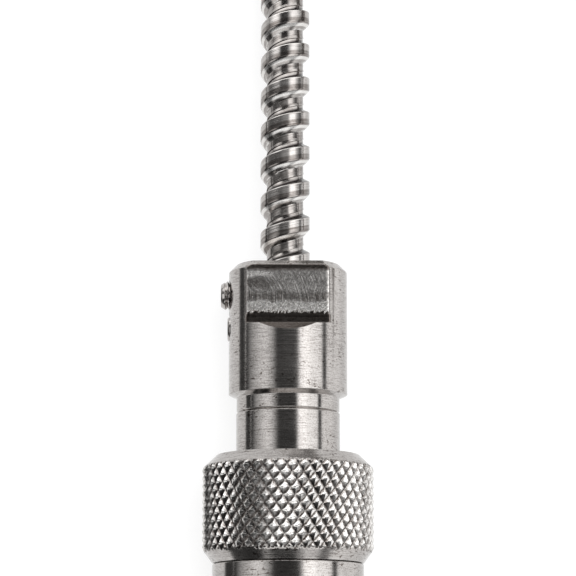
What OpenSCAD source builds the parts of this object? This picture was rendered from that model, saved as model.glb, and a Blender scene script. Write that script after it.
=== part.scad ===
// Metal-armoured cable shutter release: hand end, coiled sheath and camera-end tip.
// Lengths along the hand end are counted in s, from the clamp body's top face towards the button.
// Lengths along the tip are counted in t, from the seat of the sheath's end towards the nose.

/* [Sheath and wire] */
// Outer diameter of the strip-wound sheath, over its ridges
sheath_d = 4.95; // [4.7:0.05:5.1]
// Diameter of the inner wire
wire_d = 1.2; // [1:0.05:1.3]

/* [Clamp body] */
// Diameter of the clamp body
body_d = 11.8; // [11.5:0.1:12.2]
// Length of the clamp body, without its neck
body_len = 13.3; // [12.8:0.1:15]
// Chamfer around the top face
body_chamfer = 0.7; // [0.3:0.1:1]
// Length of the cone between the body and its neck
shoulder_len = 0.35; // [0.2:0.05:0.8]
// Distance from the axis to each wrench flat
flat_offset = 4.34; // [4.1:0.02:4.8]
// Length of a wrench flat, up to its relief groove
flat_len = 5.3; // [4:0.1:6]
// Bevel where a wrench flat meets the top face
flat_bevel = 0.45; // [0.1:0.05:0.6]
// Width of the relief groove at the end of a flat
relief_w = 0.95; // [0.6:0.05:1.2]
// Depth of the relief groove below the flat
relief_depth = 0.13; // [0.05:0.01:0.2]
// Depth of the mouth that the sheath goes into
mouth_len = 2; // [1.5:0.1:2.4]
// Wall of the spigot that goes into the guide sleeve
spigot_wall = 0.7; // [0.5:0.05:0.9]
// Length of the spigot
spigot_len = 4; // [3:0.1:4.5]

/* [Set screws] */
// Thread diameter of the set screws
screw_d = 3; // [2.6:0.1:3.2]
// Thread pitch of the set screws
screw_pitch = 0.5; // [0.4:0.05:0.6]
// Distance of the upper screw from the top face
upper_screw_s = 2.97; // [2.8:0.01:3.05]
// Distance of the lower screw from the top face
lower_screw_s = 6.35; // [6.3:0.05:7]
// How far the upper screw stands out of the body
upper_screw_proud = 0.79; // [0.2:0.01:1]
// How far the lower screw stands out of the body
lower_screw_proud = 0.12; // [0.05:0.01:0.5]
// Width across the flats of the hexagon socket
hex_w = 1.5; // [1.2:0.1:1.6]
// Depth of the hexagon socket
hex_depth = 1.2; // [0.8:0.1:1.5]

/* [Ferrule] */
// Outer diameter of the ferrule that the sheath ends on
ferrule_d = 6.3; // [6:0.05:6.5]
// Length of the ferrule
ferrule_len = 6.6; // [6.4:0.1:7]

/* [Neck and guide sleeve] */
// Diameter of the clamp body's neck
neck_d = 10.23; // [9.8:0.01:10.6]
// Length of the clamp body's neck
neck_len = 1.45; // [1:0.05:2.5]
// Depth of the bevels that make the line between neck and sleeve
witness = 0.14; // [0.05:0.01:0.25]
// Outer diameter of the guide sleeve
sleeve_d = 10.31; // [10:0.01:10.6]
// Length of the sleeve that shows above the ring
sleeve_show = 4.25; // [3:0.05:8]
// Length of the sleeve inside the barrel
sleeve_seat = 5.3; // [4:0.1:8]

/* [Lock ring] */
// Diameter of the lock ring, and of the rear cap's rim
ring_d = 17; // [16.4:0.1:18]
// Length of the lock ring
ring_len = 10.65; // [10:0.05:13]
// Diameter of the ring's top face
ring_face_d = 14.1; // [13:0.1:15]
// Length of the ring's top chamfer
ring_chamfer_top = 1.35; // [0.5:0.05:1.6]
// Length of the ring's bottom chamfer
ring_chamfer_bottom = 1.4; // [0.5:0.05:1.6]
// Number of knurl diamonds around the ring
knurl_count = 44; // [36:1:50]
// Length of the ring that a right-hand groove takes to pass one diamond
knurl_rise_right = 1.3; // [1.1:0.05:1.5]
// Length of the ring that a left-hand groove takes to pass one diamond
knurl_rise_left = 1.77; // [1.5:0.05:2]
// Depth of the knurl where its grooves cross
knurl_depth = 0.42; // [0.2:0.02:0.5]
// Diameter of the lock ball
ball_d = 3.5; // [3.3:0.05:3.6]
// How far the ball moves in as the ring is turned
lock_lift = 0.5; // [0.3:0.05:0.6]
// Wire diameter of the snap ring
snap_d = 0.9; // [0.7:0.05:1]

/* [Barrel and rear cap] */
// Outer diameter of the barrel
barrel_d = 14.97; // [14.6:0.01:15.2]
// Length of the barrel
barrel_len = 32.3; // [30:0.1:45]
// Wall of the barrel around the spring
barrel_wall = 1.2; // [0.9:0.05:1.5]
// Length of the rear cap's rim
cap_len = 5; // [4:0.1:8]
// Length of the rear cap inside the barrel
cap_seat = 3.6; // [3:0.1:5]
// Wall of the rod bush
bush_wall = 0.95; // [0.6:0.05:1.2]
// Thickness of the rubber bumper washer
bumper_t = 1.3; // [0.8:0.1:1.6]

/* [Plunger] */
// Diameter of the plunger rod
rod_d = 4; // [3.8:0.05:4.2]
// Travel of the plunger
travel = 12; // [10:0.5:12.5]
// Diameter of the thumb button
button_d = 14; // [12:0.1:16]
// Thickness of the thumb button
button_len = 4; // [3.4:0.1:6]
// Depth of the dish in the thumb button
dish_depth = 0.9; // [0.4:0.1:1]
// Diameter of the boss under the thumb button
boss_d = 6.4; // [6:0.1:8]
// Length of the boss under the thumb button
boss_len = 1.3; // [1:0.1:3]
// Diameter of the pin through the button's boss
button_pin_d = 0.8; // [0.5:0.05:0.9]

/* [Return spring] */
// Wire diameter of the return spring
spring_wire = 0.8; // [0.6:0.05:0.9]
// Mean diameter of the return spring
spring_d = 7.6; // [6.6:0.1:8.4]
// Number of turns of the return spring
spring_turns = 7; // [5:1:8]
// Thickness of the washer under the spring, and of the clip that holds it
seat_t = 0.8; // [0.5:0.05:1]
// Outer diameter of the washer under the spring
seat_d = 11.2; // [10:0.1:11.6]

/* [Wire end] */
// Outer diameter of the nipple on the inner wire
nipple_d = 2.4; // [2.2:0.05:2.6]
// Length of the nipple
nipple_len = 4; // [3:0.1:5]
// Diameter of the cross pin through rod and nipple
nipple_pin_d = 0.6; // [0.4:0.05:0.7]

/* [Tip] */
// Diameter of the socket on the sheath's camera end
socket_d = 7.2; // [6.8:0.1:8]
// Length of the socket's sheath hole
socket_hold = 6; // [4:0.1:8]
// Length of the socket from the sheath's seat to the collar
socket_len = 5.9; // [4.5:0.1:8]
// Diameter of the spigot that the collar turns on
swivel_d = 5.2; // [4.9:0.05:5.5]
// Length of that spigot
swivel_len = 5; // [4.5:0.1:6]
// Diameter of the knurled collar
collar_d = 8.8; // [8.2:0.1:8.9]
// Length of the collar's knurled part
collar_grip = 6; // [5.8:0.1:8]
// Largest diameter of the tapered thread
thread_d = 3.5; // [3.4:0.05:3.8]
// Smallest diameter of the tapered thread
thread_end_d = 3; // [2.9:0.05:3.3]
// Length of the tapered thread
thread_len = 5; // [4:0.5:7]
// Diameter of the plain nose
nose_d = 2.5; // [2.3:0.05:2.7]
// Length of the plain nose
nose_len = 2.1; // [1.5:0.1:3]
// Diameter of the release pin
pin_d = 1.5; // [1.4:0.05:1.6]
// Wire diameter of the tip's snap ring
tip_snap_d = 0.7; // [0.5:0.05:0.8]

/* [Fits] */
// Radial clearance of a sliding or turning fit
run_gap = 0.04; // [0.02:0.01:0.06]
// Radial clearance of a seated fit
seat_gap = 0.03; // [0.02:0.01:0.05]
// End clearance between pieces that turn or stop against each other
end_gap = 0.05; // [0.03:0.01:0.1]

/* [Hidden] */
$fn = 96;

steel = "#a8a4a0";
dark_steel = "#4a4846";
brass = "#b99a55";
bronze = "#a0794b";
rubber = "#2b2b2b";

// Reaches past a face in a cut
over = 1;

// Radii
sheath_r = sheath_d / 2;
body_r = body_d / 2;
ring_r = ring_d / 2;
sleeve_r = sleeve_d / 2;
barrel_r = barrel_d / 2;
rod_r = rod_d / 2;
ball_r = ball_d / 2;
ferrule_r = ferrule_d / 2;
neck_r = neck_d / 2;
mouth_r = sheath_r + 0.17;
clamp_bore_r = ferrule_r + run_gap;
spigot_r = clamp_bore_r + spigot_wall;
chamber_r = barrel_r - barrel_wall;
cap_seat_r = chamber_r + 0.5;
bush_r = rod_r + run_gap + bush_wall;

// Places along the hand end
s_ferrule_end = mouth_len + ferrule_len;
s_joint = body_len + neck_len;
s_spigot_end = s_joint + spigot_len;
s_ring = s_joint + sleeve_show;
s_ring_end = s_ring + ring_len;
s_ball = (s_ring + s_ring_end) / 2;
s_snap = s_ring + ring_chamfer_top + snap_d;
s_barrel = s_ring_end + end_gap;
s_sleeve_end = s_barrel + sleeve_seat;
s_barrel_end = s_barrel + barrel_len;
s_cap_in = s_barrel_end - cap_seat;
s_cap_end = s_barrel_end + cap_len;
s_bumper = s_cap_in - bumper_t;
s_clip = s_bumper - end_gap - seat_t;
s_seat = s_clip - seat_t;
s_boss = s_cap_end + travel + 4 * end_gap;
s_disc = s_boss + boss_len;
s_hand_end = s_disc + button_len;
s_rod = s_ball - ball_r - 0.5;
s_rod_end = s_hand_end - dish_depth - 1;
s_wire = mouth_len + travel + 0.3;
s_nipple_pin = s_rod + 1;
s_button_pin = s_disc - boss_len / 2;

// The ring's eccentric groove: clear of the ball when the ring is open, on it after a quarter turn
ball_x_locked = rod_r + run_gap + ball_r;
ball_x_open = ball_x_locked + lock_lift;
cam_r = sqrt(pow(ball_x_locked, 2) + pow(lock_lift, 2)) + ball_r + run_gap;
cam_half_w = ball_r + 3 * end_gap;

// Places along the tip
socket_r = socket_d / 2;
swivel_r = swivel_d / 2;
pin_r = pin_d / 2;
pin_sleeve_r = pin_r + 0.2;
pin_bore_r = pin_sleeve_r + run_gap;
t_collar = socket_len + 2 * end_gap;
t_swivel_end = socket_len + swivel_len;
t_tip_snap = socket_len + swivel_len / 2;
t_grip_end = t_collar + collar_grip;
t_thread = t_grip_end + 1.4;
t_nose = t_thread + thread_len;
t_nose_end = t_nose + nose_len;
pin_recess = 0.4;
t_pin_end = t_nose_end - pin_recess;
t_pin_sleeve = 0.3 + 1;
pin_sleeve_len = 2;
t_pin = t_pin_sleeve + pin_sleeve_len / 2;
t_stop = t_pin_sleeve + pin_sleeve_len + travel + 2 * end_gap;

// The hand end lies along Y, with the button towards -Y, on its ring and the rear cap's rim
axis_z = ring_r;
y_top = s_hand_end / 2;

// Sheath route, counted from the mouth of the clamp body: sideways, along, height of its centre
lead_x = -0.3;
lead_points = [
  [-0.3, 3, 8.5], [-0.3, 6, 8.5], [-0.3, 10, 8.4], [-0.3, 14, 8.1], [-0.3, 18, 7.7],
  [-0.3, 22, 7.1], [-0.3, 27, 6.2], [-0.3, 32, 5.3], [-0.3, 37, 4.4], [-0.3, 42, 3.6],
  [-0.3, 47, 3], [-0.3, 52, 2.6], [-0.3, 56, 2.5], [-0.3, 60, 2.5]
];
tail_points = [
  [52.6, 60, 6.9], [52.6, 56, 7.1], [52.6, 52, 7.4], [52.6, 48, 7.6], [52.6, 44, 7.3],
  [52.6, 40, 6.6], [52.6, 36, 5.8], [52.6, 32, 5.1], [52.6, 28, 4.6], [52.6, 24, 4.5],
  [52.6, 21, 4.5], [52.6, 18, 4.5]
];
coil_x = 27.4;
coil_y = 60;
coil_r_outer = 27.7;
coil_r_inner = 22.7;
coil_r_top = 25.2;
coil_top_z = 6.9;
tip_end = tail_points[len(tail_points) - 1];

// ---------------------------------------------------------------- placing

// Puts what is drawn along +Z, with s counted down from 0, along the hand end
module on_hand() {
  translate([0, y_top, axis_z]) rotate([-90, 0, 0]) children();
}

// Puts what is drawn along +Z, with t counted up from 0, along the tip
module on_tip() {
  translate([tip_end[0], y_top + tip_end[1], tip_end[2]]) rotate([90, 0, 0]) children();
}

// A turned piece of the hand end: points are [radius, s]
module turned(points) {
  rotate_extrude() polygon([for (p = points) [p[0], -p[1]]]);
}

// A hole along the hand end's axis, from s = a to s = b
module hole(r, a, b) {
  translate([0, 0, -b]) cylinder(r = r, h = b - a);
}

// ---------------------------------------------------------------- swept tubes

function unit(v) = v / norm(v);
function heading(p, i) = unit(p[min(i + 1, len(p) - 1)] - p[max(i - 1, 0)]);
function ring_at(c, dir, side, r, n) =
  let (up = cross(dir, side)) [for (k = [0:n - 1]) c + r * (cos(360 * k / n) * side + sin(360 * k / n) * up)];

// Sweeps a round tube along points; sides holds a unit vector square to the path at each point
module sweep(points, sides, r, n) {
  rings = len(points);
  polyhedron(
    points = [for (i = [0:rings - 1]) each ring_at(points[i], heading(points, i), sides[i], r, n)],
    faces = concat(
      [[for (k = [0:n - 1]) k]],
      [for (i = [0:rings - 2], k = [0:n - 1])
        [i * n + k, (i + 1) * n + k, (i + 1) * n + (k + 1) % n, i * n + (k + 1) % n]],
      [[for (k = [0:n - 1]) rings * n - 1 - k]]
    )
  );
}

// ---------------------------------------------------------------- clamp end

// Outline of what a wrench flat takes away: [distance from the axis, -s]
module flat_outline() {
  wall_s = flat_len + relief_w;
  wall_foot = 0.12;
  wall_top = flat_offset + 0.85;
  relief_floor = flat_offset - relief_depth;
  polygon([
    [flat_offset - flat_bevel - over, over], [flat_offset - flat_bevel, 0],
    [flat_offset, -flat_bevel], [flat_offset, -flat_len],
    [relief_floor, -flat_len - 0.3 * relief_w], [relief_floor, -flat_len - 0.7 * relief_w],
    [flat_offset, -wall_s], [wall_top, -wall_s - wall_foot],
    [wall_top + 2, -wall_s - wall_foot - 2], [body_r + 3, over]
  ]);
}

// Both wrench flats: the front one faces local -Y, the back one mirrors it
module flats_cut() {
  for (turn = [0, 180])
    rotate([0, 0, turn]) rotate([90, 0, -90])
      linear_extrude(height = body_d + 2, center = true) flat_outline();
}

// A set screw's hole, from outside into the bore
module screw_hole(s) {
  inner = clamp_bore_r - 0.5;
  translate([-inner, 0, -s]) rotate([0, -90, 0])
    cylinder(r = screw_d / 2 + seat_gap, h = body_r + over - inner);
}

module clamp_body() {
  color(steel) on_hand() difference() {
    turned([
      [0, 0], [body_r - body_chamfer, 0], [body_r, body_chamfer], [body_r, body_len - shoulder_len],
      [neck_r, body_len], [neck_r, s_joint - witness], [neck_r - witness, s_joint],
      [spigot_r, s_joint], [spigot_r, s_spigot_end], [0, s_spigot_end]
    ]);
    hole(mouth_r, -over, mouth_len + over);
    hole(clamp_bore_r, mouth_len, s_spigot_end + over);
    flats_cut();
    screw_hole(upper_screw_s);
    screw_hole(lower_screw_s);
  }
}

// A grub screw lying along -X from the ferrule outwards, with its thread as rings
module grub_screw(s, proud) {
  tip = ferrule_r + run_gap;
  length = body_r + proud - tip;
  r = screw_d / 2;
  depth = 0.55 * screw_pitch;
  bevel = 0.35;
  crests = floor((length - 2 * bevel) / screw_pitch);
  start = (length - crests * screw_pitch) / 2;
  translate([-tip, 0, -s]) rotate([0, -90, 0]) difference() {
    rotate_extrude() polygon(concat(
      [[0, 0], [r - bevel, 0], [r - depth / 2, start]],
      [for (i = [0:crests - 1], step = [[0, 0.2], [0, 0.4], [depth, 0.6], [depth, 0.9]])
        [r - step[0], start + (i + step[1]) * screw_pitch]],
      [[r - depth / 2, length - start], [r - bevel, length], [0, length]]
    ));
    translate([0, 0, length - hex_depth]) cylinder(r = hex_w / sqrt(3), h = hex_depth + over, $fn = 6);
  }
}

module clamp_screw_upper() {
  color(dark_steel) on_hand() grub_screw(upper_screw_s, upper_screw_proud);
}

module clamp_screw_lower() {
  color(dark_steel) on_hand() grub_screw(lower_screw_s, lower_screw_proud);
}

module sheath_ferrule() {
  color(brass) on_hand() difference() {
    hole(ferrule_r, mouth_len, s_ferrule_end);
    hole(wire_d / 2 + 0.3, mouth_len - over, s_ferrule_end + over);
  }
}

// ---------------------------------------------------------------- guide sleeve and lock ring

// A wire ring in a groove half in one piece and half in the other, with a gap in it
module wire_ring(r, wire_r) {
  rotate_extrude(angle = 330) translate([r, 0]) circle(r = wire_r);
}

// The groove for a wire ring
module wire_groove(r, wire_r) {
  rotate_extrude() translate([r, 0]) circle(r = wire_r);
}

module guide_sleeve() {
  color(steel) on_hand() difference() {
    turned([
      [0, s_joint], [sleeve_r - witness, s_joint], [sleeve_r, s_joint + witness],
      [sleeve_r, s_sleeve_end], [0, s_sleeve_end]
    ]);
    hole(spigot_r + seat_gap, s_joint - over, s_spigot_end + end_gap);
    hole(rod_r + run_gap, s_joint, s_sleeve_end + over);
    translate([0, 0, -s_snap]) wire_groove(sleeve_r, snap_d / 2 + seat_gap);
    translate([0, 0, -s_ball]) rotate([0, 90, 0]) cylinder(r = ball_r + seat_gap, h = sleeve_r + over);
  }
}

module snap_ring() {
  color(dark_steel) on_hand() translate([0, 0, -s_snap]) wire_ring(sleeve_r, snap_d / 2);
}

// One ring of knurl points at s, turned on by a share of a diamond: pits and crests alternate
function knurl_row(s, turn, pit, crest) =
  [for (j = [0:2 * knurl_count - 1])
    let (w = 360 * (j / 2 + turn) / knurl_count, r = j % 2 == 0 ? pit : crest)
    [r * sin(w), -r * cos(w), -s]];

// The ring's outside, with diamonds between its chamfers
module knurled_ring() {
  row_len = 1 / (1 / knurl_rise_right + 1 / knurl_rise_left);
  lean = row_len / knurl_rise_left;
  s_top = s_ring + ring_chamfer_top;
  s_bottom = s_ring_end - ring_chamfer_bottom;
  half_rows = floor((s_bottom - s_top - 0.2) / 2 / row_len);
  first = -half_rows * lean;
  last = half_rows * lean;
  rows = concat(
    [knurl_row(s_ring, first, ring_face_d / 2, ring_face_d / 2), knurl_row(s_top, first, ring_r, ring_r)],
    [for (k = [-half_rows:half_rows])
      knurl_row((s_top + s_bottom) / 2 + k * row_len, k * lean, ring_r - knurl_depth, ring_r)],
    [knurl_row(s_bottom, last, ring_r, ring_r), knurl_row(s_ring_end, last, barrel_r, barrel_r)]
  );
  n = 2 * knurl_count;
  function at(k, j) = k * n + j % n;
  row_count = len(rows);
  polyhedron(
    points = [for (row = rows) each row],
    faces = concat(
      [[for (j = [n - 1:-1:0]) j], [for (j = [0:n - 1]) (row_count - 1) * n + j]],
      [for (k = [0, row_count - 2], j = [0:n - 1]) [at(k, j), at(k, j + 1), at(k + 1, j + 1), at(k + 1, j)]],
      [for (k = [1, row_count - 3], j = [0:n - 1]) each
        [[at(k, j), at(k, j + 1), at(k + 1, j)], [at(k, j + 1), at(k + 1, j + 1), at(k + 1, j)]]],
      [for (k = [2:row_count - 4], m = [0:2:n - 2]) each [
        [at(k, m), at(k, m + 1), at(k + 1, m)], [at(k, m + 1), at(k, m + 2), at(k + 1, m)],
        [at(k + 1, m), at(k, m + 2), at(k + 1, m + 1)], [at(k + 1, m + 1), at(k, m + 2), at(k + 1, m + 2)]
      ]]
    )
  );
}

module lock_ring() {
  color(steel) on_hand() difference() {
    knurled_ring();
    hole(sleeve_r + run_gap, s_ring - over, s_ring_end + over);
    translate([0, 0, -s_snap]) wire_groove(sleeve_r, snap_d / 2 + 2 * run_gap);
    translate([lock_lift, 0, 0]) hole(cam_r, s_ball - cam_half_w, s_ball + cam_half_w);
  }
}

module lock_ball() {
  color(steel) on_hand() translate([ball_x_open, 0, -s_ball]) sphere(r = ball_r);
}

// ---------------------------------------------------------------- barrel and rear cap

module barrel() {
  color(steel) on_hand() difference() {
    hole(barrel_r, s_barrel, s_barrel_end);
    hole(sleeve_r + seat_gap, s_barrel - over, s_sleeve_end + over);
    hole(chamber_r, s_sleeve_end, s_barrel_end + over);
    hole(cap_seat_r, s_cap_in, s_barrel_end + over);
  }
}

module rear_cap() {
  rim_bevel = 0.8;
  color(steel) on_hand() difference() {
    turned([
      [0, s_cap_in], [cap_seat_r - seat_gap, s_cap_in], [cap_seat_r - seat_gap, s_barrel_end],
      [ring_r - rim_bevel / 2, s_barrel_end], [ring_r, s_barrel_end + rim_bevel / 2],
      [ring_r, s_cap_end - rim_bevel], [ring_r - rim_bevel, s_cap_end], [0, s_cap_end]
    ]);
    hole(bush_r + seat_gap, s_cap_in - over, s_cap_end + over);
  }
}

module rod_bush() {
  color(bronze) on_hand() difference() {
    hole(bush_r, s_cap_in, s_cap_end);
    hole(rod_r + run_gap, s_cap_in - over, s_cap_end + over);
  }
}

module bumper_washer() {
  color(rubber) on_hand() difference() {
    hole(chamber_r - 2 * run_gap, s_bumper, s_cap_in);
    hole(rod_r + 4 * run_gap, s_bumper - over, s_cap_in + over);
  }
}

// ---------------------------------------------------------------- plunger

clip_depth = 0.4;

module plunger_rod() {
  color(steel) on_hand() difference() {
    hole(rod_r, s_rod, s_rod_end);
    hole(nipple_d / 2 + seat_gap, s_rod - over, s_rod + nipple_len + seat_gap);
    difference() {
      hole(rod_r + over, s_clip, s_clip + seat_t);
      hole(rod_r - clip_depth, s_clip - over, s_clip + seat_t + over);
    }
    translate([0, 0, -s_nipple_pin]) rotate([90, 0, 0])
      cylinder(r = nipple_pin_d / 2 + seat_gap, h = rod_d + 2 * over, center = true);
    translate([0, 0, -s_button_pin]) rotate([0, 90, 0])
      cylinder(r = button_pin_d / 2 + seat_gap, h = rod_d + 2 * over, center = true);
  }
}

module thumb_button() {
  edge = 0.8;
  disc_r = button_d / 2;
  dish_r = disc_r - 1.4;
  bowl_r = (pow(dish_r, 2) + pow(dish_depth, 2)) / (2 * dish_depth);
  color(steel) on_hand() difference() {
    turned([
      [0, s_boss], [boss_d / 2, s_boss], [boss_d / 2, s_disc], [disc_r - edge, s_disc],
      [disc_r, s_disc + edge], [disc_r, s_hand_end - edge], [disc_r - edge, s_hand_end],
      [0, s_hand_end]
    ]);
    translate([0, 0, -s_hand_end - bowl_r + dish_depth]) sphere(r = bowl_r);
    hole(rod_r + seat_gap, s_boss - over, s_rod_end + seat_gap);
    translate([0, 0, -s_button_pin]) rotate([0, 90, 0])
      cylinder(r = button_pin_d / 2 + seat_gap, h = boss_d + 2 * over, center = true);
  }
}

module button_pin() {
  color(dark_steel) on_hand() translate([0, 0, -s_button_pin]) rotate([0, 90, 0])
    cylinder(r = button_pin_d / 2, h = boss_d - 0.2, center = true);
}

// An open coil between the guide sleeve's end and the spring seat
module return_spring() {
  a = s_sleeve_end + spring_wire / 2 + end_gap;
  b = s_seat - spring_wire / 2 - end_gap;
  per_turn = 14;
  steps = spring_turns * per_turn;
  function helix(i) = let (w = 360 * i / per_turn)
    [spring_d / 2 * cos(w), spring_d / 2 * sin(w), -(a + (b - a) * i / steps)];
  function outward(i) = let (w = 360 * i / per_turn) [cos(w), sin(w), 0];
  color(dark_steel) on_hand()
    sweep([for (i = [0:steps]) helix(i)], [for (i = [0:steps]) outward(i)], spring_wire / 2, 8);
}

module spring_seat() {
  color(steel) on_hand() difference() {
    hole(seat_d / 2, s_seat, s_clip);
    hole(rod_r + run_gap, s_seat - over, s_clip + over);
  }
}

// A clip in the rod's groove, open on one side
module rod_clip() {
  groove_r = rod_r - clip_depth;
  color(dark_steel) on_hand() difference() {
    hole(rod_r + 1.6, s_clip, s_clip + seat_t);
    hole(groove_r + seat_gap, s_clip - over, s_clip + seat_t + over);
    translate([0, -0.8 * groove_r, -s_clip - seat_t - over])
      cube([rod_r + 4, 1.6 * groove_r, seat_t + 2 * over]);
  }
}

// ---------------------------------------------------------------- inner wire, hand end

module core_wire() {
  color(steel) on_hand() hole(wire_d / 2, s_wire, s_rod + nipple_len);
}

module wire_nipple() {
  color(brass) on_hand() difference() {
    hole(nipple_d / 2, s_rod, s_rod + nipple_len);
    hole(wire_d / 2 + seat_gap, s_rod - over, s_rod + nipple_len + over);
  }
}

// Two short pins that grip the nipple from both sides of the rod
module nipple_pin() {
  reach = nipple_d / 2 + seat_gap;
  color(dark_steel) on_hand() translate([0, 0, -s_nipple_pin])
    for (turn = [90, -90]) rotate([turn, 0, 0])
      translate([0, 0, reach]) cylinder(r = nipple_pin_d / 2, h = rod_r - reach - 0.1);
}

// ---------------------------------------------------------------- tip

module tip_socket() {
  bevel = 0.5;
  mouth = sheath_r + 2 * run_gap;
  color(steel) on_tip() difference() {
    rotate_extrude() polygon([
      [0, -socket_hold], [socket_r - bevel, -socket_hold], [socket_r, bevel - socket_hold],
      [socket_r, socket_len - bevel / 2], [socket_r - bevel / 2, socket_len], [swivel_r, socket_len],
      [swivel_r, t_swivel_end], [0, t_swivel_end]
    ]);
    translate([0, 0, -socket_hold - over]) cylinder(r = mouth, h = socket_hold + over);
    cylinder(r = pin_bore_r, h = t_swivel_end + over);
    translate([0, 0, t_tip_snap]) wire_groove(swivel_r, tip_snap_d / 2 + seat_gap);
  }
}

// The swivelling collar: grip, step, tapered thread as rings, plain nose
module tip_collar() {
  bevel = 0.5;
  r = collar_d / 2;
  neck = thread_d / 2 + 0.65;
  pitch = 0.5;
  depth = 0.2;
  crests = round(thread_len / pitch);
  function thread_r(f) = (thread_d + (thread_end_d - thread_d) * f) / 2;
  color(steel) on_tip() difference() {
    rotate_extrude() polygon(concat(
      [[0, t_collar], [r - bevel, t_collar], [r, t_collar + bevel], [r, t_grip_end - bevel],
        [r - bevel, t_grip_end], [neck + 0.6, t_grip_end], [neck, t_grip_end + 0.6],
        [neck, t_thread], [thread_d / 2 - depth, t_thread]],
      [for (i = [0:crests - 1], step = [[0, 0.3], [0, 0.5], [depth, 0.8], [depth, 1]])
        [thread_r((i + step[1]) / crests) - step[0], t_thread + (i + step[1]) * thread_len / crests]],
      [[nose_d / 2, t_nose], [nose_d / 2, t_nose_end - 0.2], [nose_d / 2 - 0.2, t_nose_end],
        [0, t_nose_end]]
    ));
    translate([0, 0, t_collar - over])
      cylinder(r = swivel_r + run_gap, h = t_swivel_end + 2 * end_gap - t_collar + over);
    cylinder(r = pin_bore_r, h = t_stop);
    cylinder(r = pin_r + run_gap, h = t_nose_end + over);
    translate([0, 0, t_tip_snap]) wire_groove(swivel_r, tip_snap_d / 2 + 2 * run_gap);
  }
}

module tip_snap_ring() {
  color(dark_steel) on_tip() translate([0, 0, t_tip_snap]) wire_ring(swivel_r, tip_snap_d / 2);
}

module release_pin() {
  dome = 0.2;
  color(steel) on_tip() rotate_extrude() polygon([
    [0, t_pin], [pin_r, t_pin], [pin_r, t_pin_end - dome], [pin_r - dome, t_pin_end], [0, t_pin_end]
  ]);
}

module pin_sleeve() {
  color(brass) on_tip() difference() {
    translate([0, 0, t_pin_sleeve]) cylinder(r = pin_sleeve_r, h = pin_sleeve_len);
    translate([0, 0, t_pin_sleeve - over]) cylinder(r = wire_d / 2 + seat_gap, h = over * 2);
    translate([0, 0, t_pin]) cylinder(r = pin_r + seat_gap, h = pin_sleeve_len);
  }
}

module tip_wire() {
  start = t_pin_sleeve - 1;
  color(steel) on_tip() translate([0, 0, start]) cylinder(r = wire_d / 2, h = t_pin - start);
}

// ---------------------------------------------------------------- sheath

// The straight stretches lie in upright planes, so their tubes have X for their side
module sheath_tube(points) {
  sweep(points, [for (p = points) [1, 0, 0]], sheath_r, 12);
}

module sheath_lead() {
  color(steel) translate([0, y_top, 0])
    sheath_tube(concat([[lead_x, -mouth_len, axis_z]], lead_points));
}

module sheath_tail() {
  color(steel) translate([0, y_top, 0]) sheath_tube(tail_points);
}

// Two turns side by side on the floor, and half a turn in the valley between them
module sheath_coil() {
  round_r = 2;
  low = coil_r_inner - sheath_r;
  high = coil_r_outer + sheath_r;
  color(steel) translate([coil_x, y_top + coil_y, 0]) union() {
    rotate_extrude() hull()
      for (x = [low + round_r, high - round_r], y = [round_r, sheath_d - round_r])
        translate([x, y]) circle(r = round_r, $fn = 32);
    rotate_extrude(angle = 180)
      translate([coil_r_top, coil_top_z]) circle(r = sheath_r, $fn = 32);
  }
}

clamp_body();
clamp_screw_upper();
clamp_screw_lower();
sheath_ferrule();
guide_sleeve();
snap_ring();
lock_ring();
lock_ball();
barrel();
rear_cap();
rod_bush();
bumper_washer();
plunger_rod();
thumb_button();
button_pin();
return_spring();
spring_seat();
rod_clip();
core_wire();
wire_nipple();
nipple_pin();
tip_socket();
tip_collar();
tip_snap_ring();
release_pin();
pin_sleeve();
tip_wire();
sheath_lead();
sheath_coil();
sheath_tail();
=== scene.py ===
import math

import bmesh
import bpy
from bpy.props import FloatProperty, FloatVectorProperty, IntProperty, PointerProperty
from bpy.types import Operator, Panel, PropertyGroup
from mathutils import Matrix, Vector


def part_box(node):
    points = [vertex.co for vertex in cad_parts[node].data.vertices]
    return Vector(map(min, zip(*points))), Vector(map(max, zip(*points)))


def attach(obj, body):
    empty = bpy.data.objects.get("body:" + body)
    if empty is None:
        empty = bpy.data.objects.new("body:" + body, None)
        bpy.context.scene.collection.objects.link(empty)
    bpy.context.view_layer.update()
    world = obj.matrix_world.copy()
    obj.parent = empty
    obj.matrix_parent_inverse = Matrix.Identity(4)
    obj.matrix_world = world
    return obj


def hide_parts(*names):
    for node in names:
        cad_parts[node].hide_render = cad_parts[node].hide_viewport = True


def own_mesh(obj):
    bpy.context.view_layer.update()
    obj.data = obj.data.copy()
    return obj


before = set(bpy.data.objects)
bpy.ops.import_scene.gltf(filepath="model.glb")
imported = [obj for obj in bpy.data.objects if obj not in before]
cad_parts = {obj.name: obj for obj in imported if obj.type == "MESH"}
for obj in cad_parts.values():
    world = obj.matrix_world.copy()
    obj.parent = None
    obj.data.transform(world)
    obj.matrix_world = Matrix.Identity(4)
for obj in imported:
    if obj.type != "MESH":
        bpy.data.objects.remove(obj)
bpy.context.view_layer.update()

bl_info = {
    "name": "Cable shutter release",
    "version": (1, 0, 0),
    "blender": (4, 5, 0),
    "location": "3D View > Sidebar > Release",
    "description": "Metal-armoured cable release: turned, milled and knurled steel with a wound sheath",
    "category": "Object",
}

MM = 0.001
TURN = 2 * math.pi
CLOSE_FIT, SLIDE_FIT = 0.03 * MM, 0.04 * MM
CENTRE = 0.02 * MM  # radius at which a solid turned piece closes up
SPIGOT_WALL = 0.7 * MM  # of the clamp body's spigot, which the guide sleeve holds

# ------------------------------------------------------------------ places from the frame


def middle(node):
    low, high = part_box(node)
    return (low + high) / 2


def width(node, axis=0):
    low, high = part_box(node)
    return high[axis] - low[axis]


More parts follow.
